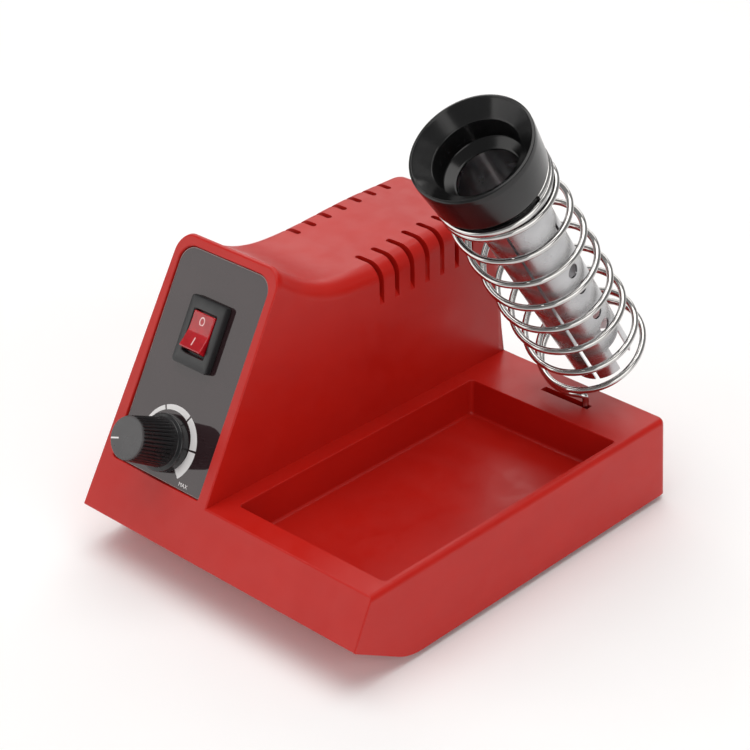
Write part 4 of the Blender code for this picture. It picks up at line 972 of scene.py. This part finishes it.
def foot_path(before, last):
    """From the last turn the wire bends down, drops into the socket and lies back along it."""
    drop_x = SOCKET[1] - WIRE - 2 * GAP
    low = DECK - SOCKET_DEPTH + WIRE + 2 * GAP
    drop = Vector((drop_x, SOCKET_Y, DECK + FOOT_BEND / 2))
    leaving = last + (last - before).normalized() * FOOT_ARCH
    arriving = drop + Vector((0, 0, FOOT_ARCH))
    path = []
    for step in range(1, 17):
        t = step / 16
        near, far = (1 - t) * last + t * leaving, (1 - t) * arriving + t * drop
        middle = (1 - t) * leaving + t * arriving
        first, second = (1 - t) * near + t * middle, (1 - t) * middle + t * far
        path.append((1 - t) * first + t * second)
    for step in range(9):
        angle = math.pi / 2 * step / 8
        across = drop_x - FOOT_BEND * (1 - math.cos(angle))
        path.append(Vector((across, SOCKET_Y, low + FOOT_BEND * (1 - math.sin(angle)))))
    path.append(Vector((SOCKET[0] + WIRE + 2 * GAP, SOCKET_Y, low)))
    return path


def tube_along(name, path, radius, sides):
    """A round bar along a path, turning as little as it can on the way."""
    loops = []
    across = None
    for i, point in enumerate(path):
        ahead = (path[min(i + 1, len(path) - 1)] - path[max(i - 1, 0)]).normalized()
        if across is None:
            across = ahead.orthogonal()
        across = (across - ahead * across.dot(ahead)).normalized()
        other = ahead.cross(across)
        loop = []
        for side in range(sides):
            turn = 2 * math.pi * side / sides
            loop.append(point + radius * (math.cos(turn) * across + math.sin(turn) * other))
        loops.append(loop)
    return loft(name, loops)


def build_coil():
    path = coil_path()
    path += foot_path(path[-2], path[-1])
    made = put("spring_wire", tube_along("wire", path, WIRE, WIRE_SIDES), STATION, CHROME, 50)
    show(made, "iron_holder", "plated_wire", "holder_coil")


def turned_lines(start, end, count):
    """The very fine ridges that a lathe leaves along one straight run of a profile."""
    made = []
    for step in range(2 * count + 1):
        share = step / (2 * count)
        ridge = 0.000022 * (step % 2)
        radius = start[0] + (end[0] - start[0]) * share + ridge
        made.append((radius, start[1] + (end[1] - start[1]) * share - ridge, 0))
    return made


def build_funnel():
    """The mouth: a thick flared collar, a stepped throat and a spigot inside the first turns."""
    outside = [
        (0.0190, -0.0003, 0.0003),
        (0.0190, -0.0022, 0.0006),
        (0.0180, -0.0146, 0.0008),
        (0.0154, -0.0146, 0.0002),
        (0.0154, -0.0204, 0.0003),
        (0.0116, -0.0204, 0.0003),
        (0.0116, -0.0144, 0),
        (0.0098, -0.0144, 0.0002),
        (0.0098, -0.0138, 0.0002),
    ]
    cone = turned_lines((0.0102, -0.0136), (0.0128, -0.0118), 9)
    step = [(0.0130, -0.0116, 0.0001), (0.0133, -0.0046, 0.0003)]
    flare = turned_lines((0.0136, -0.0043), (0.0179, -0.0003), 16)
    lip = [(0.0182, 0, 0.0002)]
    corners = outside + cone + step + flare + lip
    made = put("mouth_funnel", revolve("funnel", softened(corners, 5), 128), HOLDER, FUNNEL, 40)
    show(made, "iron_holder", "black_plastic", "holder_funnel")


TUBE_TURN = math.radians(-55)
TUBE_TWIST = math.radians(-6)
TUBE_TOP = (0.0113, math.radians(1.6), -0.0147)
TUBE_END = (0.0098, math.radians(4), -0.11)
TUBE_SHIFT = 0.0015
SHEET = 0.0006
TUBE_RINGS = 12
TUBE_AROUND = 120
DRILL_RADIUS = 0.0023
DRILL_REACH = 0.0226
DRILL_TURN = math.radians(8)
DRILLED = (0.0587, 0.0672, 0.0813, 0.0885)
PUNCHED = ((0.0013, -0.0431, -0.0395, 26), (0.0068, -0.1222, -0.0978, 10))


def tube_sheet():
    """The rolled sheet, its seam opening downwards as it tapers and leans a little."""
    rings, around = TUBE_RINGS, TUBE_AROUND
    loops = []
    for ring in range(rings + 1):
        share = ring / rings
        radius = TUBE_TOP[0] + (TUBE_END[0] - TUBE_TOP[0]) * share
        seam = TUBE_TOP[1] + (TUBE_END[1] - TUBE_TOP[1]) * share
        height = TUBE_TOP[2] + (TUBE_END[2] - TUBE_TOP[2]) * share
        loop = []
        for out, order in ((radius, 1), (radius - SHEET, -1)):
            sweep = range(around + 1) if order > 0 else range(around, -1, -1)
            for step in sweep:
                turn = seam + (2 * math.pi - 2 * seam) * step / around + TUBE_TWIST * share
                x, y = out * math.cos(turn), out * math.sin(turn) + TUBE_SHIFT * share
                loop.append((x, y, height))
        loops.append(loop)
    return loft("tube", loops)


def build_tube():
    made = tool("tube", tube_sheet(), Matrix.Rotation(TUBE_TURN, 4, "Z"))
    cutters = []
    rows = [(0, 0), (DRILL_RADIUS, 0), (DRILL_RADIUS, DRILL_REACH), (0, DRILL_REACH)]
    for number, along in enumerate(DRILLED):
        drill = revolve("drill", rows, 40)
        drill.transform(Matrix.Rotation(math.pi / 2, 4, "Y"))
        place = Matrix.Translation((0, 0, -along)) @ Matrix.Rotation(DRILL_TURN, 4, "Z")
        cutters.append(tool(f"drill_{number}", drill, place))
    for number, (width, low, high, turn) in enumerate(PUNCHED):
        mesh = slab("punch", (0, -width / 2, low), (DRILL_REACH, width / 2, high))
        cutters.append(tool(f"punch_{number}", mesh, Matrix.Rotation(math.radians(turn), 4, "Z")))
    for cutter in cutters:
        combine(made, cutter, "DIFFERENCE")
    settle(made, *cutters)
    mesh = made.data
    bpy.data.objects.remove(made)
    shown = put("rolled_tube", mesh, HOLDER, ALUMINIUM, 35)
    evened(shown)
    show(shown, "iron_holder", "aluminium", "holder_tube")


# ---------------------------------------------------------------- feet and outlets


def build_feet():
    for number in range(1, 5):
        low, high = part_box(f"foot_{number}")
        middle = (low + high) / 2
        radius, tall = (high.x - low.x) / 2, high.z - low.z
        profile = softened(
            [
                (0, 0, 0),
                (radius * 0.62, 0, 0.0002),
                (radius * 0.7, 0.0003, 0.0002),
                (radius * 0.78, 0, 0.0002),
                (radius, 0, 0.0005),
                (radius, tall, 0.0003),
                (0, tall, 0),
            ],
            4,
        )
        place = Matrix.Translation((middle.x, middle.y, low.z))
        made = put(f"rubber_foot_{number}", revolve("foot", profile, 64), place, RUBBER)
        show(made, "station", "rubber", f"foot_{number}")


def build_outlets():
    """Strain-relief sleeves with a collar, in the rear wall."""
    reliefs = (("mains_relief", "mains_bushing", 0.00325), ("lead_relief", "iron_lead_bushing", 0.0024))
    for name, node, bore in reliefs:
        low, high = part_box(node)
        middle = (low + high) / 2
        sleeve, rim = bore + 0.0018, bore + 0.004
        long = high.y - low.y
        corners = [
            (bore, 0, 0.0003),
            (sleeve, 0, 0.0004),
            (sleeve, long - 0.0018, 0),
            (rim, long - 0.0018, 0.0002),
            (rim, long - 0.0004, 0.0004),
            (bore + 0.0014, long, 0.0005),
            (bore, long, 0.0004),
        ]
        mesh = revolve(name, softened(corners, 5), 72)
        place = Matrix.Translation((middle.x, low.y, middle.z)) @ Matrix.Rotation(-math.pi / 2, 4, "X")
        show(put(name, mesh, place, RUBBER), "station", "rubber", node)


# ---------------------------------------------------------------- stage


def area(name, location, target, size, power, colour):
    lamp = bpy.data.lights.new(name, "AREA")
    lamp.shape = "RECTANGLE"
    lamp.size, lamp.size_y = size
    lamp.energy = power
    lamp.color = colour
    made = bpy.data.objects.new(name, lamp)
    bpy.context.scene.collection.objects.link(made)
    made.location = location
    aim = Vector(target) - Vector(location)
    made.rotation_euler = aim.to_track_quat("-Z", "Y").to_euler()


FLOOR_HALF = 6.0
WORLD_STRENGTH = 0.28
WARM = (1, 0.985, 0.965)
LAMPS = (
    ("overhead", (-0.05, 0.05, 1.2), (0, 0, 0.04), (1.2, 1.2), 10.5),
    ("front_left", (-0.75, -0.95, 0.42), (0, 0, 0.06), (1.1, 0.75), 3.9),
    ("back_left", (-0.75, 0.85, 0.72), (0, 0, 0.06), (1.3, 0.7), 4),
    ("right", (1.15, -0.45, 0.5), (0, 0, 0.05), (1.1, 0.9), 5),
)
CAMERA_ANGLES = (43.277, 28.724, -0.28)
CAMERA_LENS = 104.55
CAMERA_EYE = (0.45111, -0.34871, 0.36508)


def build_stage():
    half = FLOOR_HALF
    corners = [(-half, -half, 0), (half, -half, 0), (half, half, 0), (-half, half, 0)]
    mesh = mesh_of("floor", corners, [(0, 1, 2, 3)])
    made, nodes, links = new_material("floor_paper")
    shader = nodes["Principled BSDF"]
    paper = noise(nodes, links, 9, 4.0)
    pale = ramp(nodes, links, paper, (0.96, 0.96, 0.965), (0.98, 0.98, 0.985))
    links.new(pale, shader.inputs["Base Color"])
    shader.inputs["Roughness"].default_value = 0.9
    shader.inputs["Specular IOR Level"].default_value = 0.1
    floor = put("floor", mesh, Matrix.Identity(4), made)
    world = bpy.data.worlds.new("studio")
    world.use_nodes = True
    world.node_tree.nodes["Background"].inputs["Color"].default_value = (1, 1, 1, 1)
    world.node_tree.nodes["Background"].inputs["Strength"].default_value = WORLD_STRENGTH
    bpy.context.scene.world = world
    bpy.context.scene.view_settings.view_transform = "Standard"
    for name, location, target, size, power in LAMPS:
        area(name, location, target, size, power, WARM)


def build_camera():
    azimuth, elevation, roll = map(math.radians, CAMERA_ANGLES)
    ahead = math.cos(elevation)
    forward = Vector((-math.sin(azimuth) * ahead, math.cos(azimuth) * ahead, -math.sin(elevation)))
    level = Vector((math.cos(azimuth), math.sin(azimuth), 0))
    upright = level.cross(forward)
    right = math.cos(roll) * level + math.sin(roll) * upright
    up = math.cos(roll) * upright - math.sin(roll) * level
    data = bpy.data.cameras.new("camera")
    data.sensor_width = 36
    data.lens = CAMERA_LENS
    made = bpy.data.objects.new("camera", data)
    bpy.context.scene.collection.objects.link(made)
    columns = Matrix((right, up, -forward)).transposed().to_4x4()
    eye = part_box("housing")[0] + Vector(CAMERA_EYE)
    made.matrix_world = Matrix.Translation(eye) @ columns
    bpy.context.scene.camera = made


repaint_cad_nodes()
build_housing()
build_label()
build_scale()
MAX_PLACE = KNOB @ Matrix.Translation((0.0110, -0.0094, 0.00004))
lettering("scale_end", "MAX", 0.0017, MAX_PLACE, INK, "station", "label")
build_switch()
build_rocker()
build_knob()
build_coil()
build_funnel()
build_tube()
build_feet()
build_outlets()
build_stage()
build_camera()
